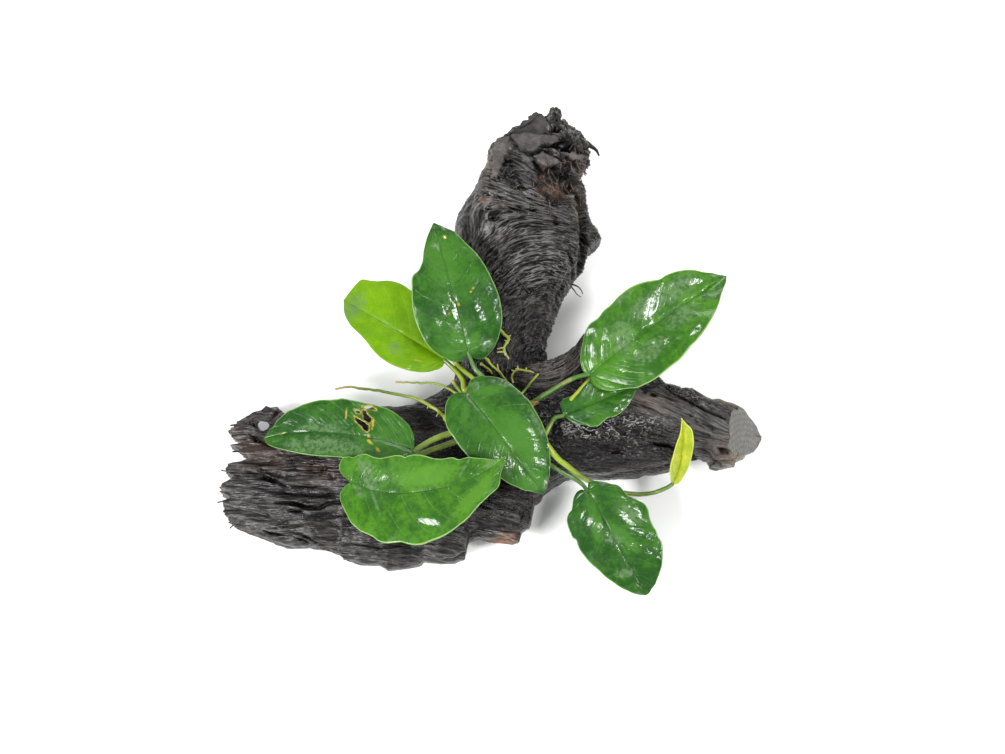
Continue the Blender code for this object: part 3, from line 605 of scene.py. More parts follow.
@dataclass(frozen=True)
class StemFinish:
    """Living stem or root: green to yellow along it, tan where it dries."""

    name: str
    green: Colour
    yellow: Colour
    tan: Colour = (0.36, 0.27, 0.10)
    gloss: float = 0.30
    coat: float = 0.6

    def make(self) -> bpy.types.Material:
        """Build the material.

        Returns:
            The material, which reads the point attributes along, dry and grain.
        """
        s = Shader(self.name)
        place = s.place()
        streak = s.noise(s.stretch(s.vector("grain"), (0.12, 1.0, 1.0)), 1.4, 4.0, 0.6)
        patch = s.noise(place, 130.0, 3.0, 0.55)
        share = s.value("along") * 0.6 + patch * 0.7
        colour = s.mix(s.between(share, 0.25, 0.95), self.yellow, self.green)
        colour = s.mix(s.between(streak, 0.5, 0.75, 0.0, 0.4), colour, dimmed(self.green, 0.45))
        dry = (s.value("dry") + s.between(patch, 0.58, 0.75) * 0.35).held()
        colour = s.mix(dry, colour, self.tan)
        s.set(Base_Color=colour, Roughness=s.between(patch, 0.3, 0.7, self.gloss - 0.08, self.gloss + 0.15))
        s.set(Normal=s.bump(streak, 0.25, 0.5), Coat_Weight=self.coat, Coat_Roughness=0.06, Coat_IOR=1.33)
        s.set(Subsurface_Weight=0.12, Subsurface_Scale=0.001)
        return s.material


@dataclass(frozen=True)
class SheathFinish:
    """Dry papery leaf sheath: brown with darker fibres."""

    name: str = "dry_sheath"
    light: Colour = (0.42, 0.25, 0.10)
    dark: Colour = (0.10, 0.045, 0.018)

    def make(self) -> bpy.types.Material:
        """Build the material, which reads the point attribute grain."""
        s = Shader(self.name)
        streak = s.noise(s.stretch(s.vector("grain"), (0.15, 2.0, 2.0)), 1.5, 4.0, 0.6)
        s.set(Base_Color=s.mix(s.between(streak, 0.35, 0.65), self.dark, self.light), Roughness=0.5)
        s.set(Normal=s.bump(streak, 0.2, 0.6), Coat_Weight=0.3, Coat_Roughness=0.15)
        return s.material


class Tone(Enum):
    """The greens that a blade can have."""

    DARK = LeafFinish("leaf_dark_green", (0.006, 0.043, 0.0026), (0.022, 0.092, 0.0045),
                      (0.055, 0.165, 0.018), (0.13, 0.24, 0.065))
    MID = LeafFinish("leaf_mid_green", (0.013, 0.066, 0.0026), (0.038, 0.133, 0.0036), (0.085, 0.215, 0.02),
                     (0.17, 0.29, 0.08))
    LIGHT = LeafFinish("leaf_yellow_green", (0.072, 0.180, 0.0002), (0.105, 0.222, 0.0004),
                       (0.19, 0.31, 0.004), (0.12, 0.22, 0.004), rib=(0.19, 0.31, 0.004), gloss=0.42,
                       glow=0.10, vein_strength=0.5, wetness=0.3)
    YOUNG = LeafFinish("leaf_young_lime", (0.190, 0.250, 0.008), (0.330, 0.340, 0.020), (0.36, 0.38, 0.06),
                       (0.38, 0.40, 0.06), rib=(0.36, 0.38, 0.06), gloss=0.38, glow=0.15, veins=6.0,
                       vein_strength=0.4)


@dataclass(frozen=True)
class Cut:
    """A crack in the wood: its route in X and Y, its width and its depth."""

    route: tuple
    width: float
    depth: float


@dataclass(frozen=True)
class Dent:
    """A pit or a hollow: middle, half sizes, heading in degrees, and depth, which is raised if negative."""

    middle: tuple
    size: tuple
    turn: float
    depth: float
    edge: float = 4.0              # how steep its sides are: 1 is a soft bowl


FLAKE_EDGE = 0.45              # millimetres over which a flake's edge rises
TRENCH = (0.7, 0.5, 2.0)       # the groove round a flake: how far out it lies, its half width and its depth


@dataclass(frozen=True)
class Flake:
    """A flat flake of bark that overhangs: its corners, its height, and how grey it is."""

    corners: tuple
    height: float = 1.6
    ash: float = 0.7
    tilt: tuple = (0.0, 0.0)       # rise for each millimetre along X and Y


@dataclass
class Limb:
    """One limb of the driftwood: rings of points along it, with carved relief."""

    name: str = "limb"
    node: str = ""
    stations: tuple = ()           # place along it, far side, near side, underside and top
    far_edge: tuple = ()           # its outline seen from above: place along it and place across it
    near_edge: tuple = ()
    grain: tuple = (7, 2.2, 0.012)     # ridges round it, their depth, and how much they wind
    squareness: float = 0.72
    rings: int = 280
    sides: int = 300
    cap_rings: int = 16
    headings: tuple = (0.0, 90.0)      # of the two cuts that part it from the other limbs, in degrees
    cuts: tuple = ()
    dents: tuple = ()
    flakes: tuple = ()
    relief: tuple = (1.4, 1.5, 2.4, 1.5)   # depths of ridges, fibres, splits and pits
    apart: tuple = (5.6, 2.4, 3.8)         # millimetres between ridges, fibres and splits
    reach: tuple = (2.6, 1.5, 2.4)         # how long they are, in the grain's own measure
    swirl: float = 0.7                     # how far the grain wanders
    seed: int = 1

    def turned(self, points: Points) -> Points:
        """Bring points from along, across and up to X, Y and Z."""
        return points

    def coarse(self, along: Points, angle: Points) -> Points:
        """Height of the slow ridges and lumps that the solid has too."""
        ridges, depth, lean = self.grain
        wave = np.abs(np.sin(ridges * angle / 2 + lean * along + 0.5 * np.sin(along / 11.0)))
        lumps = np.sin(along / 8.3 + 2.0 * angle) + 0.6 * np.sin(along / 4.7 - 3.0 * angle)
        return depth * (wave**0.6 - 0.62) + 0.35 * depth * lumps

    def rough_form(self, places: Points, angles: Points) -> Points:
        """Rings of points round the limb, through its outline.

        Args:
            places: Where the rings lie along the limb.
            angles: Directions of the points in a ring.

        Returns:
            Points as rows of rings: along, across and up.
        """
        rows = sorted(self.stations)
        far, near, under, top = smooth([r[0] for r in rows], [r[1:] for r in rows], places).T
        sign = np.sign(far - near)
        ends = [self.coarse(places, a) * np.minimum(1.0, (top - under) / 16.0) for a in (0.0, math.pi)]
        if self.far_edge:
            far = np.interp(places, *zip(*self.far_edge)) - sign * ends[0]
            near = np.interp(places, *zip(*self.near_edge)) + sign * ends[1]
        middle, half = ((far + near) / 2)[:, None], ((far - near) / 2)[:, None]
        level, rise = ((top + under) / 2)[:, None], ((top - under) / 2)[:, None]
        c, s = np.cos(angles)[None, :], np.sin(angles)[None, :]
        out_across, out_up = c * np.abs(rise), s * np.abs(half)
        length = np.hypot(out_across, out_up)
        bump = self.coarse(places[:, None], angles[None, :]) * np.minimum(1.0, rise / 8.0)
        across = middle + half * power(c, self.squareness) + out_across / length * np.sign(half) * bump
        height = level + rise * power(s, self.squareness) + out_up / length * bump
        along = np.broadcast_to(places[:, None], across.shape)
        return np.stack([along, across, height], axis=-1)

    def finish_ends(self, form: Points, angles: Points) -> Points:
        """Shape the limb's visible end."""
        return form

    def capped(self, form: Points) -> Points:
        """Close both ends with rings that draw in to a line."""
        parts = []
        for ring, outward in ((form[0], -1.0), (form[-1], 1.0)):
            middle = (ring + ring[-np.arange(len(ring))]) / 2
            shares = np.linspace(0, 1, self.cap_rings + 1)[1:]
            cap = [ring + (middle - ring) * share for share in shares]
            parts.append(cap[::-1] if outward < 0 else cap)
        return np.concatenate([np.array(parts[0]), form, np.array(parts[1])])

    def tucked(self, points: Points) -> Points:
        """Sink the part of the limb that lies inside the other limbs."""
        beyond = self.beyond(points)
        level = points[..., 2].mean(axis=1, keepdims=True)
        share = 0.8 * ease(beyond / 16.0)
        points = points.copy()
        points[..., 2] += (level - points[..., 2]) * share
        return points

    def beyond(self, points: Points) -> Points:
        """How far points lie past the cuts that part this limb from the others."""
        first, last = (np.array((math.cos(a), math.sin(a))) for a in np.radians(self.headings))
        x, y = points[..., 0] - FORK[0], points[..., 1] - FORK[1]
        return np.maximum(np.maximum(x * first[1] - y * first[0], y * last[0] - x * last[1]), 0.0)

    @staticmethod
    def normals(points: Points) -> Points:
        """Outward directions of a grid of rings."""
        down = np.gradient(points, axis=0)
        around = np.roll(points, -1, axis=1) - np.roll(points, 1, axis=1)
        out = np.cross(down, around)
        out /= np.maximum(np.linalg.norm(out, axis=-1, keepdims=True), 1e-9)
        middle = points.mean(axis=1, keepdims=True)
        if np.mean(np.sum((points - middle) * out, axis=-1)) < 0:
            out = -out
        return out

    def grain_space(self, points: Points) -> Points:
        """Coordinates that run slowly along the grain and quickly across it, in millimetres across."""
        return points / np.array((9.0, 1.0, 1.0))

    def weathering(self, points: Points, grain: Points, noise: Noise) -> Points:
        """Height of the fine relief over the limb."""
        ridged, fibred, opened, pitted = self.relief
        wander = grain + self.swirl * noise.at(points / 18.0)[..., None] * np.array((0.0, 1.0, 0.6))
        sizes = [np.array((long, wide, wide)) for long, wide in zip(self.reach, self.apart)]
        ridge = noise.ridges(wander / sizes[0], 2)
        fibre = noise.ridges(wander / sizes[1] + 40.0, 2, 0.6)
        split = np.abs(noise.at(wander / sizes[2] + 80.0))
        cracked = ease((noise.at(points / 15.0 + 31.0) - 0.10) * 3.5)
        pits = ease((noise.at(points / 2.0 + 5.0) - 0.52) * 8.0) * ease(noise.at(points / 20.0 + 3.0) * 3.0)
        gaps = opened * cracked * np.exp(-(split / 0.05) ** 2)
        return (ridged * (ridge - 0.70) + fibred * (fibre - 0.62) - gaps - pitted * pits
                + 0.12 * noise.cloud(points / 2.4))

    def carve(self, points: Points, out: Points) -> Points:
        """Depth taken away by the cracks and dents, which lie on the upper side."""
        depth = np.zeros(points.shape[:2])
        for cut in self.cuts:
            route = np.array(cut.route, float)
            steps = lengths(route)
            best = np.full(points.shape[:2], 1e9)
            share = np.zeros(points.shape[:2])
            for (a, b, start) in zip(route, route[1:], steps):
                leg = b - a
                t = np.clip(((points[..., :2] - a) @ leg) / (leg @ leg), 0, 1)
                gap = np.linalg.norm(points[..., :2] - a - t[..., None] * leg, axis=-1)
                share = np.where(gap < best, (start + t * np.hypot(*leg)) / steps[-1], share)
                best = np.minimum(best, gap)
            width = cut.width / 2 * (0.35 + 0.65 * np.sin(math.pi * np.clip(share, 0.02, 0.98)))
            ends = np.sqrt(np.sin(math.pi * np.clip(share, 0.04, 0.96)))
            depth += cut.depth * ends * np.exp(-(best / width) ** 4)
        for dent in self.dents:
            spot = blob(points, dent.middle, dent.size, dent.turn)
            depth += dent.depth * np.clip(spot * dent.edge, 0, 1) * np.sqrt(spot)
        return depth * ease((out[..., 2] + 0.15) * 3.0)

    def flaked(self, points: Points, out: Points, noise: Noise) -> tuple[Points, Points, Points, Points]:
        """Raise the flat flakes of bark, and sink the hollows.

        Args:
            points: The limb's points before the relief.
            out: Outward directions.
            noise: The limb's noise, which frays the flakes' edges.

        Returns:
            The height to add, how fully each point lies on a flake, how grey it is, and how deep in a hollow
            or trench, where the tone is darkened as painted shade.
        """
        height, cover, ash, sunk = (np.zeros(points.shape[:2]) for _ in range(4))
        flat = points[..., :2].reshape(-1, 2)
        fray = 0.75 * noise.cloud(points / 2.2 + 70.0, 3)
        bow = 0.5 * noise.cloud(points / 4.5 + 90.0, 3)
        upward = ease((out[..., 2] - 0.05) * 6.0)
        for flake in self.flakes:
            corners = np.array(flake.corners, float)
            away = outside(flat, corners).reshape(points.shape[:2]) + fray
            on = ease(-away / FLAKE_EDGE) * upward
            if flake.height < 0:
                height, sunk = height * (1 - on) + on * flake.height, np.maximum(sunk, on)
                continue
            middle = corners.mean(axis=0)
            level = np.average(points[..., 2], weights=on + 1e-9) + flake.height
            level = level + (points[..., :2] - middle) @ np.array(flake.tilt)
            rise = np.clip(level - points[..., 2], -3.0, 3.6) + bow
            out_by, half, deep = TRENCH
            trench = upward * np.exp(-((away - out_by) / half) ** 2)
            # The trench round a flake is cut into the wood, and its depth in sunk also darkens the tone
            # there, a painted shade under the flake's edge.
            height, sunk = height - deep * trench, np.maximum(sunk, 0.9 * trench)
            height = height * (1 - on) + on * rise
            cover, sunk = np.maximum(cover, on), sunk * (1 - on)
            ash = ash * (1 - on) + on * flake.ash
        return height, cover, ash, sunk

    def looks(self, points: Points) -> dict[str, Points]:
        """Where the wood is wet, ash grey, rust brown and pale."""
        zero = np.zeros(points.shape[:2])
        return {"wet": zero, "ash": zero, "rust": zero, "pale": zero}

    def shape(self) -> tuple[Points, dict[str, Points]]:
        """Work out the limb's points and their attributes.

        Returns:
            The points as rows of rings, and the attributes.
        """
        noise = Noise(self.seed)
        places = np.linspace(min(r[0] for r in self.stations), max(r[0] for r in self.stations), self.rings)
        angles = np.linspace(0, TAU, self.sides, endpoint=False)
        form = self.capped(self.finish_ends(self.rough_form(places, angles), angles))
        form = self.tucked(self.turned(form))
        out = self.normals(form)
        grain = self.grain_space(form)
        fine = self.weathering(form, grain, noise)
        carved = self.carve(form + out * fine[..., None], out)
        raised, cover, ash, sunk = self.flaked(form, out, noise)
        fine = fine * (1 - 0.72 * cover)
        carved = carved * (1 - 0.8 * cover)
        points = form + out * (fine + raised - carved)[..., None]
        points[..., 2] = np.maximum(points[..., 2], 0.0)
        mirrored = -np.arange(self.sides)
        for end in (0, -1):
            points[end] = (points[end] + points[end][mirrored]) / 2
        # The height attribute sets the tone: low relief, cracks, hollows and trenches get a darker tone, a
        # painted shade, and flakes a lighter one.
        height = np.clip(0.52 + 0.36 * fine - 0.22 * carved + 0.12 * cover - 0.30 * sunk, 0, 1)
        values = {"grain": grain.reshape(-1, 3), "height": height, "calm": cover,
                  "sawn": np.zeros_like(height)}
        values.update(self.looks(points))
        values["ash"] = np.maximum(values["ash"] * (1 - cover), ash)
        return points, values

    def opened(self, made: bpy.types.Object) -> None:
        """Cut the made mesh, where a limb has a cut that its rings can't give."""

    def build(self, material: bpy.types.Material) -> bpy.types.Object:
        """Make the limb, open its cuts, attach it to the root body and hide the part of model.glb that it
        stands for.
        """
        points, values = self.shape()
        made = Sculptor.build(self.name, points, Sculptor.quads(*points.shape[:2]), material, values)
        self.opened(made)
        return Sculptor.hand_in(made, "wood_dark", self.node)


@dataclass
class Slab(Limb):
    """The wide limb to -X, with its torn end, knot hole and broken near edge."""

    name: str = "wood_left"
    node: str = "trunk_left"
    stations: tuple = (
        (26, -2, -84, 5, 26), (12, -4, -86, 3, 27), (-2, -5, -84, 2, 27), (-12, -9, -92, 0, 27),
        (-24, -17, -94, -1, 26), (-38, -24, -96, -1, 25), (-56, -25.5, -94, -1, 24), (-68, -26, -90, -1, 23),
        (-80, -25.5, -86, 0, 22), (-92, -25, -84, 1, 20), (-102, -24, -81, 2, 17), (-112, -26, -77, 4, 14),
    )
    far_edge: tuple = (
        (-112, -26), (-106.5, -25), (-103.5, -23), (-100.4, -23.9), (-96.8, -23.4), (-94, -25),
        (-91, -26.6), (-84.4, -25.7), (-60, -25.6), (-41, -24.8), (-32, -21.2), (-22.7, -16.6),
        (-16, -11.1), (-10.3, -7.4), (0, -5), (12, -5), (26, -8),
    )
    near_edge: tuple = (
        (-112, -77), (-105.4, -79.6), (-98.4, -81.9), (-87.8, -85.2), (-79, -85.9), (-70.3, -87.6),
        (-65.6, -89.2), (-64, -91.2), (-55.3, -93.8), (-48, -94.6), (-44.4, -96.6), (-36.6, -95.5),
        (-31, -94.4), (-28.6, -92.4), (-21.8, -93.6), (-15.7, -93.3), (-11.2, -91.6), (-10.2, -87.0),
        (-9.2, -84.1), (-5.3, -82.7), (0.4, -84.1), (9.1, -85.8), (12.4, -85.2), (13.4, -80.6),
        (16.8, -78.8), (17.8, -74.3), (19, -66), (22, -56), (26, -46),
    )
    torn_end: tuple = (
        (0.0, -104), (0.045, -109.4), (0.08, -111.4), (0.13, -113.8), (0.18, -115.4), (0.22, -113.4),
        (0.25, -110.8), (0.27, -110.4), (0.285, -114.2), (0.31, -112.6), (0.345, -110.4), (0.38, -107.6),
        (0.41, -105.4), (0.425, -108.4), (0.45, -114.4), (0.49, -116.5), (0.545, -115.6), (0.55, -111.6),
        (0.57, -112.2), (0.59, -114.8), (0.65, -118.0), (0.70, -118.4), (0.735, -114.0), (0.75, -113.8),
        (0.775, -117.4), (0.87, -116.2), (0.95, -113.8), (1.0, -110),
    )
    torn_start: float = -88.0
    rings: int = 205
    sides: int = 400
    headings: tuple = (183.0, 280.0)
    hole: tuple = (-100.1, -33.3, 17.0)
    hole_size: tuple = (2.8, 2.2)
    hole_slant: float = 0.268      # how far the knot ran towards +Y for each millimetre down
    hollow: tuple = ((-102.0, -28.0), (13.0, 11.0), 8.0)   # worn place under the knot hole, and its height
    cuts: tuple = (
        Cut(((-93.7, -67.8), (-87.5, -68.3), (-82.9, -69.5), (-79.5, -70.9), (-73.8, -71.2), (-70.5, -69.2),
             (-62.0, -68.3)), 1.5, 4.4),
        Cut(((-88.4, -71.4), (-82.8, -72.2), (-80.6, -70.6)), 1.1, 3.0),
        Cut(((-111.0, -55.6), (-105.0, -55.0), (-100.5, -55.6), (-95.9, -57.8), (-87.0, -61.0)), 1.6, 4.2),
        Cut(((-103.5, -51.6), (-97.2, -54.0), (-92.5, -55.8), (-84.0, -56.6)), 1.5, 3.6),
        Cut(((-107.0, -36.3), (-104.0, -38.7), (-101.0, -40.4), (-95.0, -43.0)), 1.3, 3.6),
        Cut(((-98.4, -79.6), (-94.6, -81.2), (-89.0, -82.0)), 1.1, 2.2),
        Cut(((-84.0, -83.4), (-80.7, -84.6), (-77.7, -86.0)), 1.1, 2.2),
        Cut(((-87.4, -80.4), (-80.8, -82.4), (-76.0, -85.4), (-68.0, -88.0)), 1.0, 1.8),
        Cut(((-63.4, -77.6), (-57.5, -76.9), (-52.9, -79.2), (-46.2, -81.2)), 1.6, 2.8),
        Cut(((-108.6, -30.6), (-104.6, -32.4), (-102.6, -35.4)), 0.9, 2.0),
        Cut(((-60, -86), (-48, -88.4), (-35, -87)), 1.0, 1.8),
        Cut(((-30, -62), (-14, -66), (2, -73)), 1.1, 2.0),
        Cut(((-34, -74), (-22, -76.5), (-8, -79.5)), 1.0, 1.8),
    )
    dents: tuple = (
        Dent((-80, -63.6), (10.5, 2.0), -4, 3.2, 2.6), Dent((-99, -49.0), (8, 2.2), -8, 1.8, 2.0),
        Dent((-77.7, -50.7), (0.8, 0.5), 20, 2.6), Dent((-72.6, -53.9), (1.2, 0.6), 25, 2.8),
        Dent((-68.2, -58.0), (1.1, 0.5), -10, 2.6), Dent((-86.0, -50.2), (0.7, 0.4), 0, 2.0),
        Dent((-82.0, -59.5), (12.5, 1.2), 0, -0.9, 1.6), Dent((-99.9, -33.2), (4.6, 4.0), 0, 1.2, 1.3),
        Dent((2, -86.5), (6, 2.0), 0, 4.0), Dent((-94.5, -27.0), (0.5, 2.6), -25, 2.4),
    )
    relief: tuple = (0.6, 0.5, 0.6, 0.25)
    seed: int = 11

    def finish_ends(self, form: Points, angles: Points) -> Points:
        """Tear the end: wood reaches further at some shares of the width and layers than at others."""
        shares, reaches = np.array(self.torn_end).T
        across = (1 - power(np.cos(angles), self.squareness)) / 2
        reach = np.interp(across, shares, reaches)
        ragged = Noise(77)
        spot = np.stack([across * 34.0, np.sin(angles) * 2.6, np.zeros_like(angles)], axis=-1)
        reach = reach + 1.5 * ragged.at(spot) + 0.9 * ragged.at(spot * 2.7)
        start = form[0, 0, 0]
        share = np.clip((self.torn_start - form[:, :, 0]) / (self.torn_start - start), 0, 1) ** 1.5
        form = form.copy()
        form[:, :, 0] += share * (reach - start)[None, :]
        middle, size, rise = self.hollow
        low = ease(0.5 - 1.6 * np.sin(angles))[None, :]
        form[:, :, 2] += rise * low * blob(form, middle, size)
        return form

    def grain_space(self, points: Points) -> Points:
        """The grain runs along X, falling a little towards the fork's near side."""
        drop = 0.0016 * np.clip(points[..., 0] + 60.0, 0, None) ** 2
        across = points[..., 1] + 0.05 * points[..., 0] + drop
        return np.stack([points[..., 0] / 9.0, across, 0.35 * points[..., 2]], axis=-1)

    def looks(self, points: Points) -> dict[str, Points]:
        """Dry for most of its length, wet at the fork, pale at the torn edges."""
        x = points[..., 0]
        soaked = np.clip(1.5 * blob(points, (8, -30), (34, 34)), 0, 1)
        wet = soaked + 0.25 * blob(points, (-70, -70), (60, 30))
        ash = 0.38 * blob(points, (-80, -59.2), (14, 1.5)) + 0.10 * ease((-60 - x) / 40)
        pale = 0.12 * ease((-115.5 - x) / 2.0) + 0.1 * blob(points, (-114, -33), (2.0, 5))
        rust = (0.75 * blob(points, (5.5, -84), (7, 2.2)) + 0.13 * blob(points, (-96, -41), (18, 9))
                + 0.14 * blob(points, (-78, -54), (14, 5)))
        shred = ease((-107.0 - x) / 5.0)
        return {"wet": np.clip(wet, 0, 1), "ash": ash, "rust": np.clip(rust, 0, 1),
                "pale": np.clip(pale, 0, 1), "shred": np.clip(shred, 0, 1)}

    def opened(self, made: bpy.types.Object) -> None:
        """Take the faces out of the knot hole, and join its upper and lower rims with a wall."""
        middle = Sculptor.metres(self.hole)[0]
        long, wide = (size * MM for size in self.hole_size)

        def centre(place: Vector) -> float:
            """The hole's Y at a place's height, in the frame."""
            return middle[1] + self.hole_slant * (middle[2] - place.z)

        def away(place: Vector) -> float:
            """Distance from the hole's middle, with its rim at 1."""
            return math.hypot((place.x - middle[0]) / long, (place.y - centre(place)) / wide)

        with edited(made.data) as shell:
            inner = [f for f in shell.faces if away(f.calc_center_median()) < 1.0]
            bmesh.ops.delete(shell, geom=inner, context="FACES")
            rim = [e for e in shell.edges if e.is_boundary]
            for v in {v for e in rim for v in e.verts}:
                angle = math.atan2(v.co.y - centre(v.co), v.co.x - middle[0])
                scale = (1 + 0.08 * math.sin(3 * angle + 1)) / max(away(v.co), 1e-6)
                v.co.x = middle[0] + (v.co.x - middle[0]) * scale
                v.co.y = centre(v.co) + (v.co.y - centre(v.co)) * scale
            bmesh.ops.bridge_loops(shell, edges=rim)
            bmesh.ops.recalc_face_normals(shell, faces=shell.faces)
            LOG.info("knot hole: %d faces out, %d rim edges", len(inner), len(rim))


@dataclass
class Bole(Limb):
    """The thick limb to +X, with its oblique sawn end, long split and pitted back."""

    name: str = "wood_right"
    node: str = "trunk_right"
    stations: tuple = (
        (-16, 2, -76, 4, 26), (-4, 0, -72, 3, 28), (8, -2, -68, 2, 30), (17, -3, -67, 1, 31),
        (25, -4, -62, 0, 31), (34, -6, -56.5, -1, 31), (46, -10, -54.6, -1, 31), (60, -11.7, -54.8, -1, 31),
        (74, -13, -53.5, -1, 31), (84, -17, -48.5, 0, 30), (92, -20.5, -47.2, 1, 29), (99, -24, -52, 2, 29),
        (106, -27, -50.5, 2, 29), (113, -30, -45, 1, 28), (119.5, -35, -40, 0, 8),
    )
    far_edge: tuple = (
        (-16, 0), (-4, -2), (8, -3), (25, -4), (34, -6), (46, -9.6), (60, -10.6), (70, -10.8),
        (73.6, -11.4), (76.5, -14.2), (84.6, -16), (88, -16.2), (92, -18.7), (97.2, -21.7), (100, -21.9),
        (104.2, -24.2), (109.4, -26.9), (114.5, -30.2), (119.5, -35),
    )
    near_edge: tuple = (
        (-16, -70), (-4, -70), (8, -69), (18.8, -68), (22.2, -66.2), (22.9, -63.6), (27.2, -59.7),
        (32.5, -56.2), (36.4, -54.6), (48.7, -54.8), (56, -54.2), (65, -54.8), (67.2, -53.7), (72, -54.3),
        (77.8, -53.3), (83, -49.4), (87.2, -47.4), (91.6, -47.0), (95.1, -48.4), (96.3, -51.5),
        (98.9, -52.2), (103, -51.2), (106.5, -50.6), (107.2, -48.3), (110.6, -46.6), (112, -44.4),
        (116.4, -42), (119.5, -37),
    )
    grain: tuple = (6, 2.2, 0.01)
    sawn_point: tuple = (104.0, -34.0, 28.0)
    sawn_normal: tuple = (0.775, -0.14, 0.615)
    rim_passes: int = 12           # how often the saw's rim is evened out
    sawn_rings: tuple = (0.02, 0.05, 0.10, 0.2, 0.35, 0.5, 0.65, 0.8, 0.92)
    headings: tuple = (-80.0, 8.0)
    rings: int = 210
    sides: int = 390
    cuts: tuple = (
        Cut(((68.0, -43.0), (72.1, -44.6), (76.6, -45.2), (79.4, -47.2)), 1.4, 4.6),
        Cut(((86.0, -46.2), (91.1, -48.6), (95.9, -49.8), (100.0, -51.2)), 1.7, 5.0),
        Cut(((72.4, -13.0), (76.0, -17.2), (79.1, -21.0), (82.9, -23.4), (88.0, -26.3), (92.4, -28.9),
             (96.8, -30.9), (101.5, -33.6)), 1.7, 3.8),
        Cut(((62.0, -26.0), (72.3, -30.1), (83.7, -36.6)), 0.9, 1.5),
        Cut(((88.0, -38.4), (96.3, -41.2), (102.3, -43.2)), 1.1, 2.0),
        Cut(((84.0, -31.5), (93.0, -36.2), (101.0, -39.6)), 0.9, 1.6),
        Cut(((98.0, -45.8), (103, -48.4)), 2.6, 4.4),
    )
    dents: tuple = (
        Dent((70.3, -22.2), (1.2, 0.7), -25, 2.8), Dent((66.4, -21.0), (1.0, 0.5), -20, 2.0),
        Dent((87.1, -31.5), (0.8, 0.6), 0, 2.6), Dent((53.9, -47.5), (1.4, 0.5), 4, 2.0),
        Dent((57.2, -40.3), (1.0, 0.4), 0, 1.6), Dent((102.2, -47.4), (2.0, 1.0), -25, 3.2),
        Dent((89.2, -25.9), (1.4, 1.0), 0, 1.8), Dent((84, -21.4), (11, 2.4), -34, 1.3, 1.4),
    )
    relief: tuple = (0.7, 0.5, 0.6, 0.8)
    seed: int = 23

    def grain_space(self, points: Points) -> Points:
        """The grain runs along X and falls more and more towards the sawn end."""
        x, y, z = np.moveaxis(points, -1, 0)
        share = ease((y + 58.0) / 22.0)
        return np.stack([x / 9.0, y + share * 0.0034 * np.clip(x - 10, 0, None) ** 2, 0.35 * z], axis=-1)

    def weathering(self, points: Points, grain: Points, noise: Noise) -> Points:
        """Fine relief, with a pitted back beyond the split and a smoother lower front."""
        plain = super().weathering(points, grain, noise)
        back = blob(points, (86, -20), (18, 6.5), -34)
        front = blob(points, (48, -50), (34, 8))
        speckle = noise.cloud(points / 1.5 + 7.0, 3)
        wet = blob(points, (44, -36), (30, 9)) + blob(points, (20, -34), (16, 20))
        pits = ease((noise.at(points / 1.9 + 50.0) - 0.12) * 3.0)
        return plain * (1 - 0.7 * front) + 0.30 * np.clip(wet, 0, 1) * speckle - 1.3 * back * pits

    def opened(self, made: bpy.types.Object) -> None:
        """Saw the end off across a plane, and close it with a flat face inside a rough rim."""
        with edited(made.data) as shell:
            place = Vector(Sculptor.metres(self.sawn_point)[0])
            bmesh.ops.bisect_plane(shell, geom=[*shell.verts, *shell.edges, *shell.faces], plane_co=place,
                                   plane_no=Vector(self.sawn_normal), clear_outer=True)
            loop = max(self.loops([e for e in shell.edges if e.is_boundary]), key=len)
            for _ in range(self.rim_passes):
                beside = zip(loop[-1:] + loop[:-1], loop, loop[1:] + loop[:1])
                even = [(before.co + v.co * 2 + after.co) / 4 for before, v, after in beside]
                for v, spot in zip(loop, even):
                    v.co = spot
            self.close(shell, loop)
            bmesh.ops.holes_fill(shell, edges=[e for e in shell.edges if e.is_boundary], sides=0)
            bmesh.ops.recalc_face_normals(shell, faces=shell.faces)
            LOG.info("sawn end: %d points round it", len(loop))
        made.data.shade_smooth()

    def close(self, shell: bmesh.types.BMesh, loop: list) -> None:
        """Close the sawn end with rings that draw in to its middle."""
        centre = sum((v.co for v in loop), Vector()) / len(loop)
        sawn, grain = shell.verts.layers.float["sawn"], shell.verts.layers.float_vector["grain"]
        outer = loop
        for share in self.sawn_rings:
            inner = []
            for v in loop:
                spot = shell.verts.new(v.co.lerp(centre, share))
                spot[grain] = spot.co / MM
                spot[sawn] = 1.0
                inner.append(spot)
            for k in range(len(loop)):
                after = (k + 1) % len(loop)
                shell.faces.new((outer[k], outer[after], inner[after], inner[k]))
            outer = inner
        shell.faces.new(outer)

    @staticmethod
    def loops(edges: list) -> list[list]:
        """The corners of each closed loop of edges, in order."""
        left, found = set(edges), []
        while left:
            edge = left.pop()
            loop = list(edge.verts)
            while loop[-1] is not loop[0]:
                ahead = next((e for e in loop[-1].link_edges if e in left), None)
                if ahead is None:
                    break
                left.remove(ahead)
                loop.append(ahead.other_vert(loop[-1]))
            found.append(loop[:-1] if loop[-1] is loop[0] else loop)
        return found

    def looks(self, points: Points) -> dict[str, Points]:
        """Wet in a patch by the fork, with painted glints on its squiggles, and ash grey along the middle of
        the outer half.
        """
        soaked = np.clip(1.5 * blob(points, (14, -30), (26, 30)), 0, 1)
        wet = (1.4 * blob(points, (46, -38.5), (26, 7.5)) + soaked + 1.1 * blob(points, (54, -49), (38, 6))
               + 0.55 * blob(points, (86, -19), (16, 5), -34))
        ash = (0.50 * blob(points, (76, -31), (24, 6.5), -22) + 0.5 * blob(points, (97, -40), (11, 9))
               + 0.22 * blob(points, (40, -53.5), (22, 1.4)) + 0.3 * blob(points, (66, -26), (8, 3), -20))
        pale = 0.35 * blob(points, (97, -22), (9, 1.5), -25) + 0.3 * blob(points, (108, -48), (6, 4))
        rust = 0.25 * blob(points, (104, -48), (8, 4)) + 0.2 * blob(points, (66, -26), (8, 4))
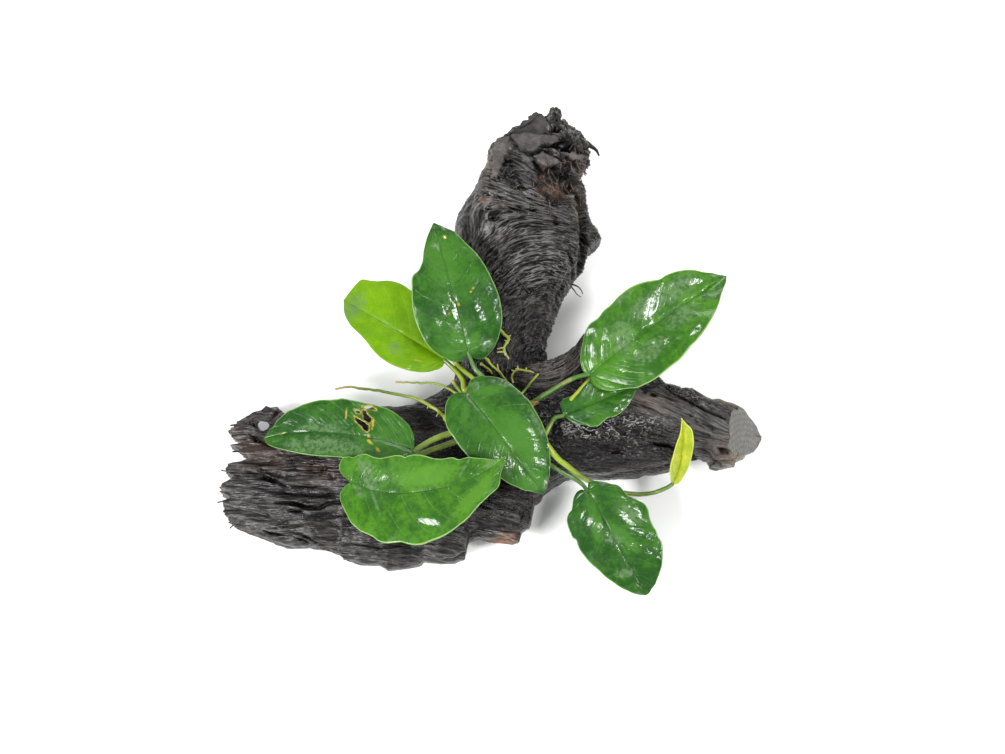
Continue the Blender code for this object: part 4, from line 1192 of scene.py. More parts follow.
        # Where the wet wood's squiggles are painted bright, as glints.
        glitter = (blob(points, (44, -37.6), (19, 4.4), -6) + 0.8 * blob(points, (62, -34.2), (14, 3.0))
                   + 0.55 * blob(points, (86, -20), (14, 3.6), -34) + 0.5 * blob(points, (22, -30), (12, 10)))
        return {"wet": np.clip(wet, 0, 1), "ash": np.clip(ash, 0, 1), "rust": rust, "pale": pale,
                "glitter": np.clip(glitter, 0, 1)}


@dataclass
class Trunk(Limb):
    """The gnarled limb to +Y: a neck, a swelling with swirling grain and a rotted, flaking top."""

    name: str = "wood_upper"
    node: str = "trunk_upper"
    stations: tuple = (
        (-30, -14, 26, 4, 26), (-18, -14, 23, 3, 28), (-6, -13, 21.5, 2, 30), (4, -11.5, 24, 1, 32),
        (14, -9, 27, 0, 34), (24, -10.5, 31.5, -1, 37), (35, -14, 38, -1, 41), (46, -16.2, 43, -1, 44),
        (56, -16, 44, -1, 46), (66, -11.5, 41.5, 0, 46), (75, -5.5, 38.5, 2, 46), (84, -1.5, 40, 5, 46),
        (91, -0.3, 42, 8, 45), (96, 3, 40.5, 10, 43), (100, 9, 36, 13, 41), (104, 17, 31, 17, 38),
    )
    far_edge: tuple = (
        (-30, -12), (-18, -13), (-6, -13), (4, -11.5), (14, -9), (24, -10.8), (32, -13.4), (46, -16.2),
        (55, -16.4), (60.4, -15.4), (66.1, -12.7), (70.9, -9.6), (77.6, -6), (82.8, -2.4), (87.7, -0.9),
        (93, 1.2), (95.6, 5.2), (97.6, 10.0), (100, 15.2), (104, 20.5),
    )
    near_edge: tuple = (
        (-30, 20), (-18, 20), (-6, 21), (-2.4, 21.6), (-1, 23.4), (2.2, 22.8), (6.8, 24.2), (10.5, 26.4),
        (17.4, 29.1), (23.4, 31.4), (30.4, 35.4), (33.2, 36.6), (36, 39.2), (38.8, 41.5), (42, 42.4),
        (46, 44.2), (48.4, 47.4), (51.9, 49.3), (55.0, 47.5), (57.6, 45.3), (62.3, 43.6), (68, 42.3),
        (74.2, 40.6), (76.8, 38.3), (79, 38.6), (82.8, 40.7), (85.7, 41.4), (88.1, 42.8), (91.8, 42.6),
        (94.6, 41.0), (96.6, 39.4), (99.6, 36.0), (101, 33.4), (104, 31.0),
    )
    grain: tuple = (6, 2.4, 0.03)
    squareness: float = 0.85
    rings: int = 380
    sides: int = 215
    headings: tuple = (8.0, 183.0)
    cuts: tuple = (
        Cut(((36.8, 70.4), (38.5, 64.2), (40.2, 59.1), (41.0, 52.3), (40.9, 44.7), (39.4, 38.0),
             (38.6, 32.6)), 3.2, 9.0),
        Cut(((-4, 57.2), (4, 57.8), (12, 57.4), (22, 56.8)), 1.6, 2.8),
        Cut(((-6, 66), (2, 64.4), (9, 60.8)), 1.2, 2.0),
        Cut(((9.1, 28.6), (16.9, 20.8)), 0.8, 1.2),
        Cut(((6, 84), (8, 77), (4.4, 71)), 1.1, 2.4),
        Cut(((-1, 76), (3.4, 73.4), (9, 74.6)), 1.0, 1.8),
        Cut(((12, 63.4), (22, 60.6), (31, 58.6)), 1.3, 1.8),
        Cut(((33, 41), (36.4, 34), (35.2, 27)), 1.2, 2.0),
    )
    dents: tuple = (
        Dent((28.6, 52.2), (0.8, 1.3), 0, 4.0), Dent((11.6, 53.0), (2.6, 0.6), 0, 2.4),
        Dent((1.8, 52.6), (2.4, 0.5), 0, 2.0), Dent((8, 80), (4.5, 6.5), -20, 1.4, 1.2),
    )
    flakes: tuple = (
        Flake(((17.5, 79.6), (20.7, 79.6), (25.5, 77.9), (31.9, 79.6), (37.5, 82.2), (42.0, 82.2),
              (42.0, 76.2), (38.6, 71.1), (36.2, 66.0), (34.9, 60.9), (29.4, 59.3), (24.6, 61.8),
              (21.4, 65.2), (19.1, 67.7), (19.9, 73.7)), -4.2, 0.0, (0.05, 0.0)),
        Flake(((28.5, 88.2), (31.9, 90.6), (35.6, 90.4), (36.2, 87.8), (39.3, 86.2), (33.5, 85.2),
              (29.5, 85.2), (25.5, 84.7), (23.1, 85.6), (25.5, 87.4)), -6.0, 0.0),
        Flake(((25.6, 97.4), (30.4, 96.8), (30.4, 91.6), (26.4, 92.2)), -4.0, 0.0),
        Flake(((4.9, 72.6), (9.9, 75.6), (17.5, 74.4), (18.6, 67.4), (14.2, 65.8), (9.4, 67.4)), -1.6, 0.0),
        Flake(((9.5, 93.6), (12.7, 96.9), (16.0, 100.1), (20.0, 103.4), (24.2, 102.7), (25.6, 97.2),
              (24.8, 94.6), (22.4, 91.9), (17.5, 92.4), (11.8, 93.3)), 0.8, 0.22, (0.0, -0.12)),
        Flake(((9.7, 91.8), (7.0, 92.4), (3.3, 89.4), (1.3, 84.4), (0.5, 79.2), (-0.3, 73.4), (2.3, 72.0),
              (4.3, 77.5), (5.1, 80.9), (7.9, 86.1), (10.3, 88.6)), 0.9, 0.62, (0.10, 0.05)),
        Flake(((10.2, 90.2), (12.7, 91.4), (17.5, 90.9), (22.3, 90.6), (25.5, 90.6), (29.5, 89.6),
              (29.3, 87.9), (25.5, 86.6), (23.1, 87.4), (21.1, 84.9), (18.7, 82.1), (15.1, 83.6),
              (11.9, 86.6)), 1.9, 0.45, (0.05, 0.02)),
        Flake(((19.0, 81.3), (22.2, 83.0), (26.2, 82.3), (28.6, 80.4), (30.2, 79.3), (27.8, 77.6),
              (25.4, 76.4), (21.8, 77.0), (19.8, 78.7)), 1.6, 0.72, (0.0, 0.06)),
        Flake(((31.9, 84.8), (35.9, 85.1), (40.5, 84.8), (39.4, 83.1), (35.8, 81.7), (33.4, 83.4)), 1.6,
              0.85, (0.0, 0.05)),
    )
    relief: tuple = (0.9, 1.2, 1.5, 0.5)
    apart: tuple = (5.2, 1.6, 3.2)
    reach: tuple = (1.3, 0.8, 1.2)
    swirl: float = 2.2
    seed: int = 37

    def turned(self, points: Points) -> Points:
        """This limb runs along Y."""
        return points[..., [1, 0, 2]]

    def grain_space(self, points: Points) -> Points:
        """The grain swirls round the neck in arcs that turn down along the right side."""
        x, y, z = np.moveaxis(points, -1, 0)
        aside = 1.3 * (x - 25.5 + 0.75 * np.clip(y - 46.0, 0, 26))
        radius, turn = np.hypot(aside, y + 13.0), np.arctan2(aside, y + 13.0)
        slant = 0.5 * (x - 10.0) * ease((y - 46.0) / 24.0)
        return np.stack([turn * 48.0 / 9.0, radius + slant, 0.35 * z], axis=-1)

    def weathering(self, points: Points, grain: Points, noise: Noise) -> Points:
        """Swirled grain below, and terraced flakes and crumbling rot towards the top."""
        plain = super().weathering(points, grain, noise)
        y = points[..., 1]
        top = ease((y - 82.0) / 10.0)
        rot = np.clip(1.6 * blob(points, (33, 75), (10, 12)) + blob(points, (39, 88), (7, 8)), 0, 1)
        left = blob(points, (2, 78), (9, 16)) + blob(points, (-10, 52), (7, 14))
        steps = noise.cloud(points / 7.0 + 60.0, 3, 0.45) * 2.4
        terrace = np.floor(steps) + ease((steps - np.floor(steps)) * 6.0 - 2.5)
        crumble = noise.ridges(points / np.array((2.0, 4.2, 3.0)) + 12.0, 4, 0.7) - 0.6
        plain = plain * (1 - 0.5 * top - 0.2 * rot) * (1 - 0.6 * np.clip(left, 0, 1))
        flaky = 0.7 * top * (1 - rot) * terrace + 0.3 * top * noise.cloud(points / 2.2 + 4.0, 3)
        return plain + flaky + 4.2 * rot * crumble

    def looks(self, points: Points) -> dict[str, Points]:
        """Wet at the neck, grey flakes at the top, rust brown in the rot."""
        y = points[..., 1]
        wet = ease((20.0 - y) / 20.0) + 0.25 * blob(points, (18, 32), (26, 18))
        ash = (0.30 * blob(points, (10, 84), (10, 7), 20) + 0.5 * blob(points, (2, 82), (3, 12), -8)
               + 0.30 * blob(points, (30, 50), (9, 9)) + 0.28 * blob(points, (5, 56), (8, 3))
               + 0.25 * blob(points, (16, 61), (9, 4), -25))
        rust = (0.55 * blob(points, (22, 70), (1.6, 7)) + 0.6 * blob(points, (40, 80), (3, 4))
                + 0.5 * blob(points, (38, 84), (3, 2)) + 0.4 * blob(points, (29, 68), (6, 4))
                + 0.5 * blob(points, (-2.5, 62.4), (3, 2)))
        pale = 0.15 * blob(points, (-0.5, 80), (2.0, 8)) + 0.2 * blob(points, (38, 60), (2, 8))
        shred = blob(points, (29, 70), (9, 8)) + blob(points, (38, 84), (5, 5))
        # Combed strands on the swelling's upper flank and at the neck: a stronger grain, with painted glints
        # on its crests.
        comb = ease((y - 12.0) / 16.0) * ease((80.0 - y) / 16.0) * (1 - blob(points, (31, 72), (9, 9)))
        flank = ease((points[..., 0] + 10.0) / 10.0) * ease((points[..., 2] - 16.0) / 14.0)
        comb = comb * flank + 0.3 * ease((14.0 - y) / 8.0)
        return {"wet": np.clip(wet, 0, 1), "ash": np.clip(ash, 0, 1), "rust": np.clip(rust, 0, 1),
                "pale": np.clip(pale, 0, 1), "shred": np.clip(shred, 0, 1), "comb": comb}


@dataclass(frozen=True)
class Burl:
    """A rough knob that stands on the wood: middle, half sizes and heading in degrees."""

    name: str
    middle: tuple
    size: tuple
    turn: float = 0.0
    rings: int = 70
    sides: int = 80
    seed: int = 5

    def build(self, material: bpy.types.Material) -> bpy.types.Object:
        """Make the knob."""
        noise = Noise(self.seed)
        rise, turns = np.meshgrid(np.linspace(-math.pi / 2, math.pi / 2, self.rings),
                                  np.linspace(0, TAU, self.sides, endpoint=False), indexing="ij")
        out = np.stack([np.cos(rise) * np.cos(turns), np.cos(rise) * np.sin(turns), np.sin(rise)], axis=-1)
        form = out * np.array(self.size)
        fine = (2.2 * (noise.ridges(form / np.array((2.4, 3.2, 2.4)), 4, 0.7) - 0.66)
                + 0.8 * noise.cloud(form / 3.0 + 8.0, 3))
        form = form + out * fine[..., None]
        c, s = math.cos(math.radians(self.turn)), math.sin(math.radians(self.turn))
        points = form @ np.array(((c, s, 0), (-s, c, 0), (0, 0, 1.0))) + np.array(self.middle)
        points[[0, -1]] = points[[0, -1]].mean(axis=1, keepdims=True)
        none = np.zeros(points.shape[:2])
        # A low height darkens the tone, a painted shade in the knob's grooves.
        values = {"grain": (points / np.array((1.0, 3.0, 1.0))).reshape(-1, 3),
                  "height": np.clip(0.45 + 0.4 * fine, 0, 1), "ash": none + 0.10}
        made = Sculptor.build(self.name, points, Sculptor.quads(self.rings, self.sides), material, values)
        return Sculptor.hand_in(made, "wood_dark")


@dataclass
class Spur:
    """The stump of a lost branch at the fork: a broken lip that narrows to a splinter."""

    route: tuple = (
        ((8.0, -12.4, 25.6), 3.6, 2.6), ((11.0, -13.0, 26.2), 4.6, 3.2), ((18.5, -14.4, 27.7), 6.5, 4.5),
        ((26.0, -13.8, 28.7), 7.0, 4.9), ((33.5, -9.8, 29.5), 6.0, 4.2), ((38.8, -3.2, 30.5), 3.6, 2.8),
        ((41.2, 4.4, 31.5), 0.8, 0.7),
    )
    rings: int = 130
    sides: int = 110
    seed: int = 51

    def build(self, material: bpy.types.Material) -> bpy.types.Object:
        """Make the stump with its curved grain and ragged tip."""
        noise = Noise(self.seed)
        middles = np.array([m for m, _, _ in self.route])
        sizes = np.array([(a, d) for _, a, d in self.route])
        steps = lengths(middles)
        at = np.linspace(0, steps[-1], self.rings)
        line, size = smooth(steps, middles, at), smooth(steps, sizes, at)
        side = np.cross((0, 0, 1.0), directions(line))
        turns = np.linspace(0, TAU, self.sides, endpoint=False)
        along = np.broadcast_to(at[:, None], (self.rings, self.sides))
        around = [9.0 * wave(turns) + 0 * along for wave in (np.cos, np.sin)]
        ring = np.stack([along / 7.0, *around], axis=-1)
        fine = (1.5 * (noise.ridges(ring / np.array((1.6, 2.2, 2.2)), 4) - 0.62)
                + 0.5 * (noise.ridges(ring * np.array((1.0, 1.1, 1.1)) + 30, 2) - 0.6))
        across = size[:, :1] + fine * np.clip(size[:, :1] / 4, 0.3, 1)
        deep = size[:, 1:] + fine * np.clip(size[:, :1] / 4, 0.3, 1)
        points = (line[:, None] + side[:, None] * (across * np.cos(turns)[None, :])[..., None]
                  + np.array((0, 0, 1.0)) * (deep * np.sin(turns)[None, :])[..., None])
        ends = [points[0].mean(axis=0), points[-1].mean(axis=0)]
        count = points.shape[0] * points.shape[1]
        faces = Sculptor.quads(*points.shape[:2]).tolist()
        for tip, start in ((count, 0), (count + 1, count - self.sides)):
            faces += [[start + k, start + (k + 1) % self.sides, tip] for k in range(self.sides)]
        flat = np.concatenate([points.reshape(-1, 3), ends])
        grain = np.concatenate([ring.reshape(-1, 3), ring[0, :1], ring[-1, :1]])
        # A low height darkens the tone, a painted shade in the grooves; the comb value below gives the whole
        # stump combed strands with painted glints.
        height = np.concatenate([np.clip(0.5 + 0.35 * fine, 0, 1).reshape(-1), [0.5, 0.5]])
        ash = 0.26 * ease((flat[:, 0] - 9) / 10)
        values = {"grain": grain, "height": height, "ash": ash,
                  "wet": 0.7 * (1 - ease((flat[:, 0] - 10) / 14)),
                  "rust": 0.25 * blob(flat, (13, -11), (7, 4)), "pale": np.zeros(len(flat)),
                  "comb": np.full(len(flat), 0.7)}
        made = Sculptor.build("wood_spur", flat, faces, material, values)
        return Sculptor.hand_in(made, "wood_grey", "broken_spur")


@dataclass
class Blade:
    """A leaf blade: where it starts and ends, its margins, how it is bent and how it is marked."""

    node: str
    base: tuple
    tip: tuple
    tone: Tone
    slot: str
    left: tuple                    # its left margin from the stem to the tip, lengthwise and crosswise
    right: tuple
    bend: float = 0.0
    arch: float = 3.0
    fold: float = 6.0
    curl: float = 0.0              # how far the margins turn down, as a share of the half width
    wave: float = 0.0
    ripples: float = 3.0
    groove: float = 0.22           # depth of the midrib
    leans: tuple = ()              # places that tip: middle, half sizes, turn, rise along and across
    puff: float = 0.22             # how far the blade swells between its veins
    tears: tuple = ()              # torn openings: corners in lengthwise and crosswise measures
    pinholes: tuple = ()           # lengthwise and crosswise measures, and radius
    scars: tuple = ()              # yellow marks: lengthwise, crosswise, half length, half width, turn
    brights: tuple = ()            # fresh green zones, in the same measures as scars
    painted_sheens: tuple = ()              # pale patches of painted sheen, in the same measures
    columns: int = 130
    rows: int = 38
    seed: int = 3
    thickness: float = 0.6

    def margin(self, side: int, count: int) -> Points:
        """Places along and across the blade of its margin, from the notch at the stem to the tip."""
        length = math.dist(self.base, self.tip)
        shape = np.array(((0.0, 0.0), *(self.left if side > 0 else self.right), (length, 0.0)))
        steps = lengths(shape)
        return smooth(steps / steps[-1], shape, np.linspace(0, 1, count))

    def placed(self, along: Points, across: Points, edge: Points, share: Points) -> tuple[Points, Points]:
        """Place the blade's points in space.

        Args:
            along: Measures from the stem towards the tip.
            across: Measures to the left of the midrib.
            edge: 0 at the midrib to 1 at the margin.
            share: 0 to 1 along the margin.

        Returns:
            The points, and the direction that the upper face looks in.
        """
        base, tip = np.array(self.base, float), np.array(self.tip, float)
        length = np.linalg.norm(tip - base)
        heading = (tip - base) / length
        left = np.cross((0, 0, 1), heading)
        left /= np.linalg.norm(left)
        up = np.cross(heading, left)
        s = along / length
        bow = self.bend * (1 - np.abs(2 * np.clip(s, 0, 1) - 1) ** 2.5)
        rise = math.tan(math.radians(self.fold)) - self.curl * edge**3
        height = self.arch * 4 * s * (1 - s) + rise * np.abs(across)
        for x, y, long, wide, turn, ahead, aside in self.leans:
            zone = blob(np.stack([along, across], axis=-1), (x, y), (long, wide), turn)
            height = height + ((along - x) * ahead + (across - y) * aside) * zone
        height = height + self.wave * edge**2 * np.sin(TAU * self.ripples * share + np.sign(across))
        aside = (across + bow)[..., None] * left
        return base + along[..., None] * heading + aside + height[..., None] * up, up

    def relief(self, along: Points, across: Points, edge: Points, share: Points, noise: Noise) -> Points:
        """Height of the veins' grooves and the swellings between them."""
        phase = self.tone.value.veins * (share - 0.055 * edge**2)
        step = np.abs(phase - np.floor(phase) - 0.5) * 2
        inner = ease(edge / 0.15) * (1 - 0.75 * ease((edge - 0.7) / 0.3))
        swell = self.puff * inner * (1 - step**2.2)
        midrib = self.groove * np.exp(-(across / 0.75) ** 2) * ease((1 - share) / 0.1)
        spot = np.stack([along, across, np.full_like(along, 3.0 * self.seed)], axis=-1)
        puckers = self.puff * (0.9 * noise.at(spot / 7.5) + 0.35 * noise.at(spot / 3.1))
        flutter = 0.45 * ease((edge - 0.6) / 0.4) * noise.at(spot / 6.0 + 20.0)
        return swell - midrib + puckers * ease(edge / 0.1) + flutter

    def spots(self, along: Points, across: Points, marks: tuple, noise: Noise) -> Points:
        """Strength of a list of marks on the blade."""
        total = np.zeros_like(along)
        fray = noise.cloud(np.stack([along, across, np.zeros_like(along)], axis=-1) / 1.3, 3)
        flat = np.stack([along, across], axis=-1)
        for x, y, long, wide, turn in marks:
            total = np.maximum(total, ease(1.9 * blob(flat, (x, y), (long, wide), turn) + 0.5 * fray - 0.35))
        return total

    def build(self, material: bpy.types.Material) -> bpy.types.Object:
        """Make the blade, attach it to the root body, and hide the part of model.glb that it stands for.

        Args:
            material: The finish of its tone.

        Returns:
            The blade's object.
        """
        noise = Noise(100 + self.seed)
        length = math.dist(self.base, self.tip)
        share = np.linspace(0, 1, self.columns)
        root = length * np.clip((share - 0.2) / 0.8, 0, 1) ** 1.35
        edge = np.linspace(-1, 1, 2 * self.rows + 1)
        lean = np.abs(edge) ** 1.2
        rims = {side: self.margin(side, self.columns) for side in (1, -1)}
        reach = np.where(edge[None, :] >= 0, rims[1][:, :1], rims[-1][:, :1])
        width = np.where(edge[None, :] >= 0, rims[1][:, 1:], rims[-1][:, 1:])
        along = root[:, None] + (reach - root[:, None]) * lean[None, :]
        across = width * edge[None, :]
        edges = np.abs(np.broadcast_to(edge, along.shape))
        shares = np.broadcast_to(share[:, None], along.shape)
        points, up = self.placed(along, across, edges, shares)
        points = points + self.relief(along, across, edges, shares, noise)[..., None] * up
        count = 2 * self.rows + 1
        faces = Sculptor.quads(self.columns, count, closed=False)
        scar = self.spots(along, across, self.scars, noise)
        if self.tears or self.pinholes:
            faces, rim = self.torn(faces, along, across, noise)
            scar = np.maximum(scar, rim)
        # Masks of the scars, the fresh green zones and the painted sheen's pale patches.
        values = {"scar": scar, "fresh": self.spots(along, across, self.brights, noise),
                  "painted_sheen": self.spots(along, across, self.painted_sheens, noise),
                  "sheen": ease(noise.at(points / 13.0 + 2.0) + 0.3)}
        uv = np.stack([shares, np.broadcast_to(edge, along.shape)], axis=-1)
        made = Sculptor.build("blade" + self.node[4:], points, faces, material, values, uv, weld=4e-5)
        self.face_up(made, up)
        wall = made.modifiers.new("Thickness", "SOLIDIFY")
        wall.thickness, wall.offset = self.thickness * MM, 0.0
        Sculptor.settle(made)
        return Sculptor.hand_in(made, self.slot, self.node)

    def torn(self, faces: Points, along: Points, across: Points, noise: Noise) -> tuple[Points, Points]:
        """Take out the torn openings and pinholes.

        Args:
            faces: The blade's quads.
            along: Lengthwise measure of each point.
            across: Crosswise measure of each point.
            noise: The blade's noise, which frays the edges.

        Returns:
            The quads that are left, and how near each point is to an opening.
        """
        flat = np.stack([along, across], axis=-1).reshape(-1, 2)
        fray = 0.5 * noise.cloud(np.concatenate([flat, flat[:, :1] * 0], axis=1) / 1.6, 3)
        near = np.full(len(flat), 1e9)
        for corners in self.tears:
            near = np.minimum(near, outside(flat, np.array(corners, float)) + 0.7 * fray)
        for x, y, radius in self.pinholes:
            near = np.minimum(near, np.hypot(flat[:, 0] - x, flat[:, 1] - y) - radius + 0.2 * fray)
        kept = faces[near[faces].mean(axis=1) > 0]
        return kept, (1 - ease(near / (0.45 + 0.5 * np.abs(fray)))).reshape(along.shape)

    @staticmethod
    def face_up(made: bpy.types.Object, up: Points) -> None:
        """Turn the open sheet so that its faces look up."""
        with edited(made.data) as shell:
            if sum(f.normal.dot(Vector(up)) for f in shell.faces) < 0:
                bmesh.ops.reverse_faces(shell, faces=shell.faces)


class Tube:
    """A round living strand: stem, root or rhizome."""

    @staticmethod
    def route(points: Points, spacing: float) -> Points:
        """Points evenly spaced along a smooth curve through the given ones."""
        points = np.array(points, float)
        steps = lengths(points)
        count = max(3, round(steps[-1] / spacing) + 1)
        return smooth(steps, points, np.linspace(0, steps[-1], count))

    @staticmethod
    def build(name: str, line: Points, radii: Points, sides: int, material: bpy.types.Material,
              dry: Points | None = None, seed: int = 1, rough: float = 0.06) -> bpy.types.Object:
        """Make a closed tube with rounded ends and uneven skin.

        Args:
            name: The object's name.
            line: Its middle, as points.
            radii: Its radius at each point.
            sides: Points in each ring.
            material: Its finish.
            dry: How dry it is at each point.
            seed: The seed of its unevenness.
            rough: Unevenness as a share of the radius.

        Returns:
            The tube's object.
        """
        noise = Noise(seed)
        length, ahead = lengths(line), directions(line)
        dome = np.sin(np.linspace(0.12, math.pi / 2, 6))[:-1]
        extra = len(dome)
        sunk = 0.8 * np.cos(np.arcsin(dome))[:, None]
        front, back = line[0] - ahead[0] * radii[0] * sunk, line[-1] + ahead[-1] * radii[-1] * sunk[::-1]
        line = np.concatenate([front, line, back])
        radii = np.concatenate([radii[0] * dome, radii, radii[-1] * dome[::-1]])
        dry = np.zeros(len(length)) if dry is None else dry
        length, dry, ahead = (np.concatenate([[row[0]] * extra, row, [row[-1]] * extra])
                              for row in (length, dry, ahead))
        turns = np.linspace(0, TAU, sides, endpoint=False)
        side = np.cross(ahead[0], (0, 0, 1.0))
        rings = []
        for centre, direction, radius in zip(line, ahead, radii):
            side = side - direction * np.dot(side, direction)
            side /= np.linalg.norm(side)
            up = np.cross(direction, side)
            ring = side * np.cos(turns)[:, None] + up * np.sin(turns)[:, None]
            uneven = 1 + rough * noise.at(np.concatenate([ring[:, :2] * 1.2, ring[:, 2:] * 1.2], axis=1)
                                          + centre / 3.0)[:, None]
            rings.append(centre + ring * radius * uneven)
        points = np.array(rings)
        faces = Sculptor.quads(len(points), sides).tolist()
        faces += [list(range(sides)), list(range((len(points) - 1) * sides, len(points) * sides))]
        along = np.broadcast_to((length / max(length[-1], 1e-6))[:, None], points.shape[:2])
        around = [3 * wave(turns) + 0 * along for wave in (np.cos, np.sin)]
        grain = np.stack([length[:, None] + 0 * along, *around], axis=-1)
        values = {"along": along, "dry": np.broadcast_to(dry[:, None], points.shape[:2]),
                  "grain": grain.reshape(-1, 3)}
        return Sculptor.build(name, points, faces, material, values)


class Ground:
    """The wood's surface, which roots, straws and the rhizome are laid on."""

    def __init__(self, meshes: list[bpy.types.Mesh]) -> None:
        """Read the surface from meshes that stand in the frame's place."""
        self.trees = []
        for mesh in meshes:
            places, corners = [v.co for v in mesh.vertices], [tuple(f.vertices) for f in mesh.polygons]
            self.trees.append(BVHTree.FromPolygons(places, corners))

    def height(self, x: float, y: float, around: float = 0.0) -> float:
        """The highest wood, in millimetres, at a place or within a distance round it."""
        best = 0.0
        spots = [(around * math.cos(a), around * math.sin(a)) for a in np.linspace(0, 5.5, 8)]
        for dx, dy in [(0, 0)] + spots:
            start = Vector(((x + dx - ORIGIN[0]) * MM, (y + dy - ORIGIN[1]) * MM, 0.2))
            for tree in self.trees:
                hit = tree.ray_cast(start, Vector((0, 0, -1)))[0]
                best = max(best, hit.z / MM if hit else 0.0)
        return best

    def lay(self, points: Points, radius: float) -> Points:
        """Heights for a route: the given ones, or on the wood, and never in it."""
        placed = []
        for x, y, z in points:
            placed.append((x, y, max(z, self.height(x, y, radius + 1.3) + radius + GAP)))
        return np.array(placed)


@dataclass
class Rhizome:
    """The creeping stem on the fork."""

    plan: tuple = ((-6.5, -18), (0.5, -25.5), (7.5, -32.3), (14.5, -39), (22.0, -46.4))
    radius: float = 3.4
    spacing: float = 2.6
    swell: tuple = (1.0, 0.88)

    def axis(self, ground: Ground) -> Points:
        """Its middle, laid on the wood."""
        flat = Tube.route([(x, y, 0) for x, y in self.plan], self.spacing)
        points = ground.lay(flat, self.radius)
        reach = 2
        padded = np.pad(points[:, 2], reach, mode="edge")
        points[:, 2] = np.lib.stride_tricks.sliding_window_view(padded, 2 * reach + 1).max(axis=1)
        return points

    def build(self, axis: Points, material: bpy.types.Material) -> bpy.types.Object:
        """Make it, with a ring for each old leaf."""
        line = Tube.route(axis, 0.3)
        place = np.linspace(0, len(axis) - 1, len(line))
        swell = np.interp(place, range(len(axis)), [self.swell[k % 2] for k in range(len(axis))])
        ringed = 1 - 0.07 * np.exp(-((place % 1.0 - 0.5) / 0.09) ** 2)
        radii = self.radius * (1 - 0.06 * place / place[-1]) * swell * ringed
        dry = 0.30 + 0.25 * np.sin(place * 2.2) ** 2
        made = Tube.build("rhizome_body", line, radii, 48, material, dry, 61, 0.10)
        return Sculptor.hand_in(made, "rhizome_green", "rhizome")


@dataclass
class Petiole:
    """A leaf stem, from the rhizome's side to the blade's base."""

    node: str
    start: float
    points: tuple
    first: float
    last: float
    spacing: float = 4.2
    sheath: tuple = ()             # shares of its length where a dry sheath starts and ends
    green: float = 0.0             # above nought greener than the others, below it yellower

    def path(self, axis: Points, ground: Ground) -> Points:
        """Its coarse route, as the solid's."""
        place = self.start * (len(axis) - 1)
        i = min(int(place), len(axis) - 2)
        centre = axis[i] + (axis[i + 1] - axis[i]) * (place - i)
        along = (axis[i + 1] - axis[i]) / np.linalg.norm(axis[i + 1] - axis[i])
        away = np.array(self.points[0], float) - centre
        away -= along * np.dot(away, along)
        away /= np.linalg.norm(away)
        radius = Rhizome.radius
        foot, neck = centre + away * (radius - 0.8), centre + away * (radius + GAP + 1.6)
        coarse = Tube.route([foot, neck, *self.points], self.spacing)
        return np.concatenate([coarse[:1], ground.lay(coarse[1:], self.first)])

    def build(self, axis: Points, ground: Ground, green: bpy.types.Material,
              papery: bpy.types.Material) -> Points:
        """Make the stem and its sheath, attach them to the root body, and hide the part of model.glb that the
        stem stands for.
        """
        line = Tube.route(self.path(axis, ground), 0.5)
        share = np.linspace(0, 1, len(line))
        radii = self.first + (self.last - self.first) * share
        radii = radii * (1 + 0.28 * np.exp(-share / 0.07))
        stub = "stub" in self.node
        dry = 0.25 * np.exp(-share / 0.05) + (0.9 * ease((share - 0.9) / 0.1) if stub else 0.0)
        made = Tube.build("petiole" + self.node[4:], line, radii, 22, green, dry, 70 + len(self.node), 0.07)
        along = np.empty(len(made.data.vertices), dtype=np.float32)
        made.data.attributes["along"].data.foreach_get("value", along)
        made.data.attributes["along"].data.foreach_set("value", along + self.green)
        Sculptor.hand_in(made, "stem_green", self.node)
        if self.sheath:
            self.wrap(line, radii, papery)
        return line

    def wrap(self, line: Points, radii: Points, papery: bpy.types.Material) -> None:
        """Make the dry sheath: a torn half sleeve round the stem."""
        low, high = (round(s * (len(line) - 1)) for s in self.sheath)
        part, radius = line[low:high + 1], radii[low:high + 1]
        noise = Noise(90 + low)
        ahead = directions(part)
        side = np.cross(ahead, (0, 0, 1.0))
        side /= np.linalg.norm(side, axis=1)[:, None]
        up = np.cross(side, ahead)
        turns = np.linspace(-0.5, 2.3, 15)
        share = np.linspace(0, 1, len(part))[:, None]
        spread = turns[None, :] * (1 - 0.55 * share**2)
        puff = radius[:, None] + 0.25 + 0.55 * share * (turns[None, :] / 2.3) ** 2
        puff = puff + 0.12 * noise.at(np.stack([share * 9 + 0 * spread, spread * 2, spread * 0], axis=-1))
        points = (part[:, None] + side[:, None] * (puff * np.cos(spread))[..., None]
                  + up[:, None] * (puff * np.sin(spread))[..., None])
        grain = np.stack([share * 12 + 0 * spread, spread * 2, spread * 0], axis=-1).reshape(-1, 3)
        faces = Sculptor.quads(len(part), len(turns), closed=False)
        made = Sculptor.build("sheath" + self.node[4:], points, faces, papery, {"grain": grain})
        wall = made.modifiers.new("Thickness", "SOLIDIFY")
        wall.thickness, wall.offset = 0.22 * MM, 1.0
        Sculptor.hand_in(Sculptor.settle(made), "wood_grey")


